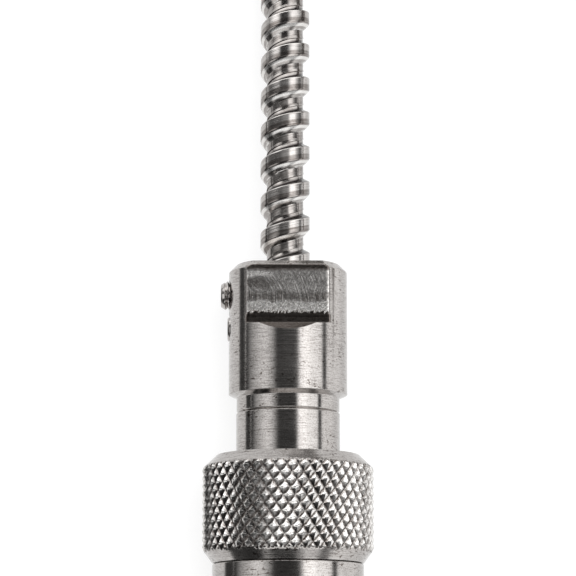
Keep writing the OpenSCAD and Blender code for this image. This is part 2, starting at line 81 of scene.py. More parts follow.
class Axis:
    """A line that turned pieces are drawn around: distances count along it from its start."""

    def __init__(self, start, along, up, side):
        self.start, self.along = Vector(start), Vector(along)
        self.up, self.side = Vector(up), Vector(side)

    def at(self, radius, turn, distance):
        outward = math.cos(turn) * self.up + math.sin(turn) * self.side
        return self.start + distance * self.along + radius * outward

    def ring(self, radius, distance, columns):
        """Points spread evenly around the axis."""
        return [self.at(radius, TURN * j / columns, distance) for j in range(columns)]

    def reach(self, node, end):
        """How far along the axis a node's near (0) or far (1) end lies."""
        low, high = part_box(node)
        ends = sorted((corner - self.start).dot(self.along) for corner in (low, high))
        return ends[end]


def axis_of(node):
    """An axis from the +Y end of a node towards -Y."""
    centre, high = middle(node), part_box(node)[1]
    return Axis((centre.x, high.y, centre.z), (0, -1, 0), (0, 0, 1), (1, 0, 0))


HAND = axis_of("clamp_body")
TIP = axis_of("tip_socket")

# ------------------------------------------------------------------ settings


class SheathSettings(PropertyGroup):
    pitch: FloatProperty(
        name="Pitch", description="Distance from one ridge of the sheath to the next",
        default=3.625 * MM, min=2.6 * MM, max=5 * MM, unit="LENGTH")
    ridge: FloatProperty(
        name="Ridge width", description="Width of a ridge's crown",
        default=1.22 * MM, min=0.5 * MM, max=1.6 * MM, unit="LENGTH")
    steep: FloatProperty(
        name="Steep flank", description="Width of a ridge's flank on the side of the camera end",
        default=0.4 * MM, min=0.2 * MM, max=0.5 * MM, unit="LENGTH")
    slope: FloatProperty(
        name="Sloped flank", description="Width of a ridge's flank on the side of the clamp body",
        default=0.72 * MM, min=0.2 * MM, max=0.8 * MM, unit="LENGTH")
    root_diameter: FloatProperty(
        name="Root diameter", description="Diameter between the ridges",
        default=3.62 * MM, min=2.5 * MM, max=4.5 * MM, unit="LENGTH")
    lip: FloatProperty(
        name="Seam lip", description="Height of the strip's edge where it laps the turn before",
        default=0.06 * MM, min=0, max=0.15 * MM, unit="LENGTH")
    first_ridge: FloatProperty(
        name="First ridge", description="Distance along the sheath to its first ridge, seen from above",
        default=1.88 * MM, unit="LENGTH")
    segments: IntProperty(
        name="Segments", description="Steps of the strip in one turn", default=32, min=16, max=96)


class ClampSettings(PropertyGroup):
    chamfer: FloatProperty(
        name="Top chamfer", description="Chamfer around the clamp body's top face",
        default=0.7 * MM, unit="LENGTH")
    length: FloatProperty(
        name="Body length", description="Length of the clamp body without its neck",
        default=13.3 * MM, unit="LENGTH")
    shoulder: FloatProperty(
        name="Shoulder", description="Length of the cone from the body to its neck",
        default=0.35 * MM, unit="LENGTH")
    flat_offset: FloatProperty(
        name="Flat offset", description="Distance from the axis to a wrench flat",
        default=4.34 * MM, unit="LENGTH")
    flat_length: FloatProperty(
        name="Flat length", description="Length of a wrench flat down to its relief groove",
        default=5.3 * MM, unit="LENGTH")
    flat_bevel: FloatProperty(
        name="Flat bevel", description="Bevel where a wrench flat meets the top face",
        default=0.45 * MM, unit="LENGTH")
    relief: FloatProperty(
        name="Relief groove", description="Width of the relief groove at the end of a flat",
        default=0.95 * MM, unit="LENGTH")
    edge_wear: FloatProperty(
        name="Edge wear", description="How far the long edges of a wrench flat are worn back",
        default=0.03 * MM, min=0, max=0.1 * MM, unit="LENGTH")
    witness: FloatProperty(
        name="Witness line", description="Depth of the bevels where two turned pieces meet",
        default=0.14 * MM, unit="LENGTH")


class KnurlSettings(PropertyGroup):
    count: IntProperty(
        name="Diamonds around", description="Number of knurl diamonds around the lock ring",
        default=44, min=20, max=80)
    rise_right: FloatProperty(
        name="Right rise", description="Rise of the right-hand grooves from one diamond to the next",
        default=1.3 * MM, min=1.1 * MM, max=1.5 * MM, unit="LENGTH")
    rise_left: FloatProperty(
        name="Left rise", description="Rise of the left-hand grooves from one diamond to the next",
        default=1.77 * MM, min=1.5 * MM, max=2 * MM, unit="LENGTH")
    left_share: FloatProperty(
        name="Left-hand share", description="Depth of the left-hand grooves beside the right-hand ones",
        default=0.95, min=0.5, max=1, subtype="FACTOR")
    depth: FloatProperty(
        name="Knurl depth", description="Depth of the knurl's grooves",
        default=0.3 * MM, min=0.2 * MM, max=0.5 * MM, unit="LENGTH")
    crest: FloatProperty(
        name="Crest", description="Share of a full pyramid's height that the rolling leaves",
        default=0.92, min=0.5, max=1, subtype="FACTOR")
    fine: IntProperty(
        name="Steps", description="Pairs of mesh steps across one knurl diamond", default=3, min=2, max=6)


class FinishSettings(PropertyGroup):
    steel: FloatVectorProperty(
        name="Steel", description="Colour of the bright turned steel",
        default=(0.5, 0.478, 0.462), subtype="COLOR", min=0, max=1)
    # The worn colour also paints the highlights and glints on the sheath's slopes.
    worn: FloatVectorProperty(
        name="Worn steel", description="Colour of edges that handling keeps polished",
        default=(0.86, 0.845, 0.825), subtype="COLOR", min=0, max=1)
    # The stain colour also paints the shade on the sheath's crowns.
    stain: FloatVectorProperty(
        name="Stain", description="Colour of tarnish and oil in grooves and seams",
        default=(0.11, 0.091, 0.08), subtype="COLOR", min=0, max=1)
    dark_steel: FloatVectorProperty(
        name="Dark steel", description="Colour of the oiled screws and springs",
        default=(0.36, 0.345, 0.33), subtype="COLOR", min=0, max=1)
    brass: FloatVectorProperty(
        name="Brass", description="Colour of the brass sleeves", default=(0.62, 0.46, 0.2),
        subtype="COLOR", min=0, max=1)
    bronze: FloatVectorProperty(
        name="Bronze", description="Colour of the bronze bush", default=(0.5, 0.29, 0.14),
        subtype="COLOR", min=0, max=1)
    rubber: FloatVectorProperty(
        name="Rubber", description="Colour of the bumper washer", default=(0.022, 0.022, 0.022),
        subtype="COLOR", min=0, max=1)


class StageSettings(PropertyGroup):
    distance: FloatProperty(
        name="Camera distance", description="Distance from the camera to what it looks at",
        default=0.3, unit="LENGTH")
    tilt: FloatProperty(
        name="Camera tilt", description="Angle of the camera from straight above, to the button's side",
        default=math.radians(9), subtype="ANGLE")
    across: FloatProperty(
        name="View width", description="Width that the camera takes in at the clamp body",
        default=57.6 * MM, unit="LENGTH")
    aim: FloatProperty(
        name="Aim", description="Distance from the clamp body's top face to the middle of the view",
        default=2.15 * MM, unit="LENGTH")


class ReleaseSettings(PropertyGroup):
    sheath: PointerProperty(type=SheathSettings)
    clamp: PointerProperty(type=ClampSettings)
    knurl: PointerProperty(type=KnurlSettings)
    finish: PointerProperty(type=FinishSettings)
    stage: PointerProperty(type=StageSettings)


# ------------------------------------------------------------------ shader expressions


def rgba(colour):
    return (*colour, 1)


def grey(level):
    return (level, level, level, 1)


class Value:
    """A socket's output that takes part in sums like a number."""

    def __init__(self, finish, socket):
        self.finish, self.socket = finish, socket

    def __add__(self, other):
        return self.finish.maths("ADD", self, other)

    __radd__ = __add__

    def __sub__(self, other):
        return self.finish.maths("SUBTRACT", self, other)

    def __rsub__(self, other):
        return self.finish.maths("SUBTRACT", other, self)

    def __mul__(self, other):
        return self.finish.maths("MULTIPLY", self, other)

    __rmul__ = __mul__

    def __truediv__(self, other):
        return self.finish.maths("DIVIDE", self, other)

    def __rtruediv__(self, other):
        return self.finish.maths("DIVIDE", other, self)

    def __pow__(self, other):
        return self.finish.maths("POWER", self, other)

    def __rpow__(self, other):
        return self.finish.maths("POWER", other, self)

    def step(self, low, high):
        """Rises smoothly from 0 at low to 1 at high."""
        return self.finish.add(
            "ShaderNodeMapRange", {"interpolation_type": "SMOOTHSTEP"},
            {"Value": self, "From Min": low, "From Max": high})

    def band(self, low, full, fade, high):
        """Rises from 0 at low to 1 at full, and falls to 0 again from fade to high."""
        return self.step(low, full) * (1 - self.step(fade, high))


class Finish:
    """A material, or the world, and the nodes that it is made of."""

    def __init__(self, name, kind="Material"):
        self.kind = kind
        self.material = (bpy.data.worlds if kind == "World" else bpy.data.materials).new(name)
        self.material.use_nodes = True
        self.tree = self.material.node_tree
        self.tree.nodes.clear()

    def add(self, kind, settings=None, sockets=None, out=0):
        node = self.tree.nodes.new(kind)
        for key, value in (settings or {}).items():
            if key == "stops":
                self.fill_ramp(node.color_ramp, value)
            else:
                setattr(node, key, value)
        for key, value in (sockets or {}).items():
            if isinstance(value, Value):
                self.tree.links.new(value.socket, node.inputs[key])
            else:
                node.inputs[key].default_value = value
        return None if out is None else Value(self, node.outputs[out])

    @staticmethod
    def fill_ramp(ramp, stops):
        while len(ramp.elements) < len(stops):
            ramp.elements.new(1)
        for element, (place, level) in zip(ramp.elements, sorted(stops)):
            element.position = place
            element.color = grey(level)

    def output(self, shader):
        self.add("ShaderNodeOutput" + self.kind, None, {"Surface": shader}, None)
        return self.material

    def maths(self, operation, *terms):
        return self.add("ShaderNodeMath", {"operation": operation}, dict(enumerate(terms)))

    def place(self):
        """The place on the object, in millimetres."""
        spot = self.add("ShaderNodeTexCoord", None, None, "Object")
        return self.add("ShaderNodeVectorMath", {"operation": "SCALE"}, {0: spot, "Scale": 1 / MM})

    def stretch(self, place, x, y, z):
        return self.add("ShaderNodeVectorMath", {"operation": "MULTIPLY"}, {0: place, 1: (x, y, z)})

    def parts(self, vector, axes):
        return [self.add("ShaderNodeSeparateXYZ", None, {0: vector}, axis) for axis in axes]

    def attribute(self, name):
        return self.add("ShaderNodeAttribute", {"attribute_name": name}, None, "Fac")

    def ray(self, test):
        """1 for the rays that pass one of Light Path's tests, and 0 for others."""
        return self.add("ShaderNodeLightPath", None, None, test)

    def noise(self, place, scale, detail, rough=0.5):
        return self.add("ShaderNodeTexNoise", None, {
            "Vector": place, "Scale": scale, "Detail": detail, "Roughness": rough})

    def mix(self, mask, first, second):
        """Blends two colours, through the Mix node's colour sockets."""
        return self.add("ShaderNodeMix", {"data_type": "RGBA"}, {0: mask, 6: first, 7: second}, 2)

    def blend(self, mask, first, second):
        """Blends two shaders."""
        return self.add("ShaderNodeMixShader", None, {0: mask, 1: first, 2: second})

    def emission(self, colour, strength):
        return self.add("ShaderNodeEmission", None, {"Color": colour, "Strength": strength})

    def bump(self, height, distance):
        return self.add("ShaderNodeBump", None, {
            "Height": height, "Distance": distance, "Strength": 1.0})

    def metal(self, colour, roughness, normal, metallic=1.0):
        return self.output(self.add("ShaderNodeBsdfPrincipled", None, {
            "Base Color": colour, "Roughness": roughness, "Metallic": metallic, "Normal": normal}))


# ------------------------------------------------------------------ materials

FINISHES = {}


def finish(name):
    """The named material, made when it is first asked for."""
    if name not in FINISHES:
        FINISHES[name] = MAKERS[name](name, bpy.context.scene.release.finish)
    return FINISHES[name]


def turned_steel(name, colours):
    """Steel off the lathe: tool lines around the axis, short scratches, grit and a few pits."""
    f = Finish(name)
    place = f.place()
    rings = f.noise(f.stretch(place, 0.12, 7, 0.12), 1, 3, 0.6)
    scratches = f.noise(f.stretch(place, 1.0, 10, 1.0), 1, 3, 0.7)
    grit = f.noise(place, 7.5, 2, 0.7)
    cloud = f.noise(place, 0.45, 4, 0.6)
    pits = f.noise(f.stretch(place, 2.2, 3.4, 2.2), 1, 2, 0.5).step(0.62, 0.66)
    pitted = f.noise(f.stretch(place, 0.25, 0.35, 0.25), 1, 2).step(0.46, 0.56)
    marks = (scratches.step(0.42, 0.72) * 0.6 + grit.step(0.42, 0.7) * 0.5
             + rings.step(0.52, 0.75) * 0.2 + pits * pitted)
    tone = f.mix(marks * (0.3 + 0.8 * cloud), rgba(colours.steel), rgba(colours.stain))
    roughness = 0.14 + 0.14 * (cloud - 0.5) + 0.14 * (rings - 0.5) + 0.1 * (grit - 0.5)
    return f.metal(tone, roughness, f.bump(rings + 0.4 * grit, 4e-6))


def milled_steel(name, colours):
    """The face of a wrench flat: arcs that a cutter left, in overlapping passes, torn near the end."""
    f = Finish(name)
    place = f.place()
    x, y = f.parts(place, "XY")
    down = HAND.start.y / MM - y
    cloud = f.noise(place, 0.8, 4, 0.65)
    grain = f.noise(place, 5.0, 3, 0.75)
    passes = []
    for shift, reach in ((4.5, 3.4), (-6.0, 5.2)):
        across, along = x - shift, down - reach
        passes.append(f.add("ShaderNodeTexNoise", {"noise_dimensions": "1D"}, {
            "W": (across * across + along * along) ** 0.5, "Scale": 4.5, "Detail": 4.0,
            "Roughness": 0.7}))
    swap = f.noise(f.stretch(place, 0.25, 0.7, 0.25), 1, 2).step(0.42, 0.58)
    swirl = passes[0] * swap + passes[1] * (1 - swap)
    slanted = f.add("ShaderNodeCombineXYZ", None, {0: 5.0 * (x - 0.6 * y), 1: 1.6 * (y + 0.6 * x)})
    strokes = f.noise(slanted, 1, 3, 0.7)

    # Zones down the flat: a smooth edge at the top face, the cutter's arcs with a dull stretch, the
    # torn end, and smooth metal again in the relief groove. On the left, the arcs are torn and dull
    # near the top face too.
    wander = (cloud - 0.5) * 1.2
    zone = down + wander
    torn = zone.step(3.9, 4.3)
    relief = (down + (strokes - 0.5) * 1.4).step(5.05, 5.25)
    smooth = 1 - (down + wander * 0.3).step(0.8, 1.3) * (1 - relief)
    left = (-1 * x).step(0.8, 2.4)
    dull = zone.step(3.0, 3.5) * (1 - torn) + left * zone.band(1.7, 2.1, 2.6, 3.0)
    lit = torn + left * (1 - zone.step(1.6, 2.0))

    height = 0.5 * swirl * (1 - lit) + (0.3 + 0.6 * lit) * grain + 0.6 * lit * strokes
    marks = (0.44 + 0.26 * dull - 0.12 * lit + 0.9 * (swirl - 0.5) * (1 - lit) + (grain - 0.5) * 1.3
             + (strokes - 0.5) * 2.0 * lit)
    marks = marks * (1 - smooth) + (0.7 + 0.5 * grain) * smooth
    rough = 0.22 + 0.06 * lit - 0.05 * dull + 0.2 * (grain - 0.5)
    rough = rough * (1 - smooth) + 0.12 * smooth
    tone = f.mix(marks, rgba(colours.worn), rgba(colours.stain))
    return f.metal(tone, rough, f.bump(height * (1 - 0.85 * smooth), 5e-5))


def knurled_steel(name, colours):
    """Rolled diamonds: lighter on the crests and darker towards the bottom of the grooves."""
    f = Finish(name)
    place = f.place()
    height = f.attribute("height")
    speck = f.noise(place, 4.5, 3, 0.7)
    cloud = f.noise(place, 0.5, 3)
    # Darker towards the bottom of the grooves, with random speckle.
    oil = 0.2 + 0.6 * (1 - height.step(0.1, 0.7)) + (speck - 0.5) * 1.8 + (cloud - 0.5) * 0.3
    tone = f.mix(oil, rgba(colours.worn), rgba(colours.stain))
    return f.metal(tone, 0.12 + 0.16 * (speck - 0.5), f.bump(speck, 1.1e-5))


def sheath_steel(name, colours):
    """Rolled strip: draw lines along it, darker between the ridges, painted highlights on its slopes, and
    painted shade on its crowns and steep flanks.
    """
    f = Finish(name)
    settings = bpy.context.scene.release.sheath
    cloud = f.noise(f.place(), 1.6, 4, 0.65)
    across, along, height = (f.attribute(key) for key in ("across", "along", "height"))
    draw = f.noise(f.add("ShaderNodeCombineXYZ", None, {0: across * 30.0, 1: along * 0.8}), 1, 3, 0.7)

    # Across one pitch, from the middle of a ridge: its crown, the steep flank with a painted black shadow
    # at its foot, the root with the seam, and the slope up to the next ridge's crest, with a painted
    # highlight below the crest and painted glints lower down. Painted shade covers the top of the slope
    # and the crown's first half.
    half, steep, slope = (
        size / settings.pitch for size in (settings.ridge / 2, settings.steep, settings.slope))
    crest = 1 - half
    crown = height.step(0.6, 0.98)
    # Painted shade over the top of the slope and the following half crown.
    shade = across.band(crest - 0.3 * slope, crest, 0.95, 1.0)
    # Painted glints near the foot of the slope.
    foot = across.band(crest - 1.1 * slope, crest - slope, crest - slope, crest - 0.4 * slope)
    # Painted highlight on the slope, below the crest.
    edge = across.band(
        crest - 0.62 * slope, crest - 0.52 * slope, crest - 0.26 * slope, crest - 0.16 * slope)
    # Painted black shadow on the steep flank and the start of the root.
    black = across.band(half, half + 0.3 * steep, half + steep, half + 1.5 * steep)

    # Lighter on the crowns, random tarnish from the noise, and the painted shade.
    tarnish = 0.46 - 0.4 * crown + 0.6 * shade + (cloud - 0.5) * 0.9 + (draw - 0.5) * 1.4
    tone = f.mix(tarnish, rgba(colours.steel), rgba(colours.stain))
    # The painted black shadow, near black.
    tone = f.mix(black * 0.8, tone, (0.01, 0.008, 0.007, 1))
    # Painted highlights and glints, in the worn colour.
    bright = edge * (0.6 + draw * 0.5) + foot * (draw + cloud - 0.5).step(0.45, 0.7) * 0.7
    tone = f.mix(bright, tone, rgba(colours.worn))
    roughness = 0.15 + 0.12 * edge + 0.1 * (draw - 0.5) + 0.1 * (cloud - 0.5)
    return f.metal(tone, roughness, f.bump(draw + 0.5 * cloud, 6e-6))


def plain_metal(colour_name, rough=0.3, speckle=0.15, bumps=1.5e-5):
    """A maker of drawn or cast metal in one of the set colours."""
    def make(name, colours):
        f = Finish(name)
        place = f.place()
        cloud = f.noise(place, 0.9, 4, 0.6)
        grain = f.noise(place, 6.0, 3, 0.6)
        tone = f.mix((cloud - 0.4) * 0.5, rgba(getattr(colours, colour_name)), rgba(colours.stain))
        roughness = rough + speckle * (grain - 0.5) + 0.1 * (cloud - 0.5)
        return f.metal(tone, roughness, f.bump(grain, bumps))
    return make


def soft_rubber(name, colours):
    """Moulded black rubber with a fine grain and a dusty bloom."""
    f = Finish(name)
    place = f.place()
    grain = f.noise(place, 8.0, 3, 0.6)
    bloom = f.noise(place, 1.2, 3)
    tone = f.mix(bloom.step(0.45, 0.8) * 0.3, rgba(colours.rubber), (0.09, 0.088, 0.085, 1))
    return f.metal(tone, 0.6 + 0.2 * (grain - 0.5), f.bump(grain, 3e-5), 0.0)


MAKERS = {
    "turned_steel": turned_steel,
    "milled_steel": milled_steel,
    "knurled_steel": knurled_steel,
    "sheath_steel": sheath_steel,
    "screw_steel": plain_metal("steel", 0.14, 0.1, 4e-6),
    "spring_steel": plain_metal("dark_steel", 0.25),
    "polished_steel": plain_metal("steel", 0.1, 0.05, 4e-6),
    "wire_steel": plain_metal("steel", 0.3),
    "brass": plain_metal("brass", 0.28),
    "bronze": plain_metal("bronze", 0.35),
    "rubber": soft_rubber,
}

# ------------------------------------------------------------------ mesh helpers


def soften(points, radius, loop=False):
    """Rounds a profile's corners, with a support point on each side of every round."""
    support = 1.6
    result = []
    for i, spot in enumerate(points):
        here = Vector(spot)
        before, after = Vector(points[i - 1]) - here, Vector(points[(i + 1) % len(points)]) - here
        cut = min(radius, 0.3 * before.length, 0.3 * after.length)
        if cut < 1e-7 or (not loop and i in (0, len(points) - 1)):
            result.append(spot)
            continue
        before, after = before.normalized() * cut, after.normalized() * cut
        result.append(tuple(here + before * support))
        for part in (0, 0.33, 0.67, 1):
            result.append(tuple(
                (1 - part) ** 2 * (here + before) + 2 * part * (1 - part) * here
                + part ** 2 * (here + after)))
        result.append(tuple(here + after * support))
    return result


def piece(name, points, faces, material, sharp=38):
    mesh = bpy.data.meshes.new(name)
    shape = bmesh.new()
    spots = [shape.verts.new(p) for p in points]
    for face in faces:
        shape.faces.new([spots[i] for i in face])
    bmesh.ops.remove_doubles(shape, verts=shape.verts, dist=1e-7)
    bmesh.ops.recalc_face_normals(shape, faces=shape.faces)
    shape.to_mesh(mesh)
    shape.free()
    return dress(name, mesh, material, sharp)


def put(name, data):
    """A new object in the scene."""
    obj = bpy.data.objects.new(name, data)
    bpy.context.scene.collection.objects.link(obj)
    return obj


def dress(name, mesh, material, sharp):
    mesh.polygons.foreach_set("use_smooth", [True] * len(mesh.polygons))
    mesh.set_sharp_from_angle(angle=math.radians(sharp))
    mesh.materials.append(finish(material))
    return put(name, mesh)


def skin(rows, loop=False, split=None, gap=()):
    """Points and faces of a surface through rings of points; open ends are closed by a face.

    The gap is the range of rings that another function joins.
    """
    size = len(rows[0])
    points = [p for row in rows for p in row]
    faces = []
    last = len(rows) if loop else len(rows) - 1
    for k in range(last):
        if k in gap:
            continue
        low, high = k * size, (k + 1) % len(rows) * size
        for j in range(size):
            n = (j + 1) % size
            a, b, c, d = low + j, low + n, high + n, high + j
            lean = split(k, j) if split else 0
            if lean > 0:
                faces += [(a, b, d), (b, c, d)]
            elif lean < 0:
                faces += [(a, b, c), (a, c, d)]
            else:
                faces.append((a, b, c, d))
    if not loop:
        faces.append(tuple(range(size)))
        faces.append(tuple(range(len(points) - size, len(points))))
    return points, faces


def lathe(name, axis, profile, material, columns, round_by):
    """Turns a closed profile of (radius, distance) around an axis."""
    rows = [axis.ring(radius, s, columns) for radius, s in soften(profile, round_by, True)]
    return piece(name, *skin(rows, True), material)


def groove(radius, start, stop, depth):
    """The points of a groove with sloping sides, for a lathe's profile."""
    low = radius - depth
    return [(radius, start), (low, start + depth), (low, stop - depth), (radius, stop)]


def stand_for(obj, body, slot, *nodes):
    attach(obj, body)
    if nodes:
        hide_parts(*nodes)
    return obj


def finish_node(node, material):
    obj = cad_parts[node]
    obj.data.materials.clear()
    obj.data.materials.append(finish(material))


# ------------------------------------------------------------------ sheath

# The centre line before and after the coil, as (y, z) at one x. Here y counts from the clamp body's
# top face, and these lengths are in metres.
LEAD_POINTS = [(-0.0003, y, z) for y, z in (
    (-0.002, 0.0085), (0.003, 0.0085), (0.006, 0.0085), (0.010, 0.0084), (0.014, 0.0081),
    (0.018, 0.0077), (0.022, 0.0071), (0.027, 0.0062), (0.032, 0.0053), (0.037, 0.0044),
    (0.042, 0.0036), (0.047, 0.0030), (0.052, 0.0026), (0.056, 0.0025), (0.060, 0.0025))]
TAIL_POINTS = [(0.0526, y, z) for y, z in (
    (0.060, 0.0069), (0.056, 0.0071), (0.052, 0.0074), (0.048, 0.0076), (0.044, 0.0073),
    (0.040, 0.0066), (0.036, 0.0058), (0.032, 0.0051), (0.028, 0.0046), (0.024, 0.0045),
    (0.021, 0.0045), (0.018, 0.0045))]
COIL_CENTRE = (0.0274, 0.060)
COIL_DEGREES = 900
COIL_OUTER, COIL_INNER, COIL_TOP = 0.0277, 0.0227, 0.0252
COIL_LOW, COIL_HUMP, COIL_HIGH = 0.0025, 0.0076, 0.0069


def ease(value, low, high):
    part = min(1, max(0, (value - low) / (high - low)))
    return part * part * (3 - 2 * part)


def coil_point(degrees):
    """A point of the coil, so many degrees after it starts, clockwise from above.

    It draws in for its second turn, and climbs onto the first two for the last half turn.
    """
    radius = COIL_OUTER + (COIL_INNER - COIL_OUTER) * ease(degrees, 300, 360)
    radius += (COIL_TOP - COIL_INNER) * ease(degrees, 640, 700)
    height = COIL_LOW + (COIL_HUMP - COIL_LOW) * ease(degrees, 595, 688)
    height += (COIL_HIGH - COIL_HUMP) * ease(degrees, 700, 745)
    turn = math.radians(180 - degrees)
    return (COIL_CENTRE[0] + radius * math.cos(turn), COIL_CENTRE[1] + radius * math.sin(turn), height)


def through(points, steps=8):
    """A smooth curve through points."""
    spots = [Vector(p) for p in points]
    spots = [2 * spots[0] - spots[1]] + spots + [2 * spots[-1] - spots[-2]]
    curve = []
    for a, b, c, d in zip(spots, spots[1:], spots[2:], spots[3:]):
        for k in range(steps):
            t = k / steps
            curve.append(0.5 * (2 * b + (c - a) * t + (2 * a - 5 * b + 4 * c - d) * t * t
                                + (3 * b - 3 * c + d - a) * t ** 3))
    curve.append(spots[-2])
    return curve


class Route:
    """The sheath's centre line, sampled evenly, with a frame that doesn't twist."""

    def __init__(self, spacing):
        coil = [Vector(coil_point(d)) for d in range(2, COIL_DEGREES - 1, 2)]
        raw = through(LEAD_POINTS) + coil + through(TAIL_POINTS)
        start = Vector((0, HAND.start.y, 0))
        raw = [p + start for p in raw]
        lengths = [0.0]
        for a, b in zip(raw, raw[1:]):
            lengths.append(lengths[-1] + (b - a).length)
        self.length = lengths[-1]
        count = round(self.length / spacing)
        self.spacing = self.length / count
        self.points, k = [], 0
        for i in range(count + 1):
            want = i * self.spacing
            while k < len(raw) - 2 and lengths[k + 1] < want:
                k += 1
            part = (want - lengths[k]) / (lengths[k + 1] - lengths[k])
            self.points.append(raw[k].lerp(raw[k + 1], part))
        self.sides = []
        side = Vector((1, 0, 0))
        for i in range(count + 1):
            heading = self.heading(i)
            side = (side - heading * side.dot(heading)).normalized()
            self.sides.append(side.copy())

    def heading(self, i):
        return (self.points[min(i + 1, len(self.points) - 1)] - self.points[max(i - 1, 0)]).normalized()

    def at(self, distance):
        """Centre, side and up at a distance along the route, which goes on straight past its ends."""
        place = distance / self.spacing
        i = min(max(int(place), 0), len(self.points) - 2)
        part = place - i
        centre = self.points[i] + (self.points[i + 1] - self.points[i]) * part
        part = min(max(part, 0), 1)
        side = self.sides[i].lerp(self.sides[i + 1], part).normalized()
        heading = self.heading(i).lerp(self.heading(i + 1), part).normalized()
        return centre, side, side.cross(heading)


def strip_profile(settings, outer):
    """The wound strip across one pitch, as (distance, radius), from the middle of a ridge outwards."""
    half, pitch, root = settings.ridge / 2, settings.pitch, settings.root_diameter / 2
    lip, steps, edge = settings.lip, 6, 0.08 * MM
    floor, rise = half + settings.steep, pitch - half - settings.slope
    seam = floor + 0.3 * (rise - floor)
    back = root + 0.3 * lip
    steep = [(half + settings.steep * k / steps, outer - (outer - root) * ease(k / steps, 0, 1))
             for k in range(steps + 1)]
    slope = [(pitch - half - settings.slope * k / steps, outer - (outer - back) * (k / steps) ** 1.35)
             for k in range(steps, -1, -1)]
    return (
        [(0, outer), (half - edge, outer)] + steep
        + [(seam - edge, root), (seam, root - 0.5 * lip), (seam + 0.3 * edge, root + lip),
           (seam + 0.6 * edge, root + lip), (seam + 3.4 * edge, back), (seam + 3.8 * edge, back),
           (rise - edge, back)]
        + slope + [(pitch - half + edge, outer)])


def wind_sheath(settings):
    """The sheath as one strip wound along its route, and the route's points."""
    route = Route(0.4 * MM)
    outer, root = width("sheath_lead") / 2, settings.root_diameter / 2
    pitch, steps = settings.pitch, settings.segments
    profile = strip_profile(settings, outer)
    size = len(profile)
    before = 2 + math.ceil(settings.first_ridge / pitch)
    total = math.ceil((route.length / pitch + before + 2) * steps)

    points, heights = [], []
    for i in range(total):
        turn = TURN * i / steps
        for distance, radius in profile:
            centre, side, up = route.at(settings.first_ridge + pitch * (i / steps - before) + distance)
            points.append(centre + radius * (math.sin(turn) * side + math.cos(turn) * up))
            heights.append((radius - root) / (outer - root))

    faces, across, along = [], [], []
    for i in range(total - 1):
        for k in range(size):
            near, far = i * size + k, i * size + k + 1 if k + 1 < size else (i + steps) * size
            if far + size < len(points):
                faces.append((near, near + size, far + size, far))
                edge = profile[k + 1][0] / pitch if k + 1 < size else 1
                across += [profile[k][0] / pitch] * 2 + [edge] * 2
                along += [i / steps, (i + 1) / steps, (i + 1) / steps, i / steps]

    mesh = bpy.data.meshes.new("sheath")
    mesh.from_pydata(points, [], faces)
    for name, domain, values in (
            ("height", "POINT", heights), ("across", "CORNER", across), ("along", "CORNER", along)):
        mesh.attributes.new(name, "FLOAT", domain).data.foreach_set("value", values)
    trim(mesh, route.points[0], route.points[1], 4 * pitch)
    trim(mesh, route.points[-1], route.points[-2], 4 * pitch)
    return mesh, route


def trim(mesh, end, inside, reach):
    """Cuts a tube off square at its end and closes it."""
    shape = bmesh.new()
    shape.from_mesh(mesh)
    near = {v for v in shape.verts if (v.co - end).length < reach}
    faces = [face for face in shape.faces if near.intersection(face.verts)]
    edges = dict.fromkeys(edge for face in faces for edge in face.edges)
    verts = dict.fromkeys(v for face in faces for v in face.verts)
    cut = bmesh.ops.bisect_plane(
        shape, geom=[*verts, *edges, *faces], dist=1e-7, plane_co=end + (inside - end) * 0.05,
        plane_no=end - inside, clear_outer=True)
    rim = [part for part in cut["geom_cut"] if isinstance(part, bmesh.types.BMEdge)]
    bmesh.ops.triangle_fill(shape, edges=rim, use_beauty=True)
    bmesh.ops.recalc_face_normals(shape, faces=shape.faces)
    shape.to_mesh(mesh)
    shape.free()


# ------------------------------------------------------------------ clamp body


def polyline(points, place):
    """The value at a place on a list of (place, value)."""
    for (a, low), (b, high) in zip(points, points[1:]):
        if place <= b:
            return low + (high - low) * (place - a) / (b - a) if b > a else high
    return points[-1][1]


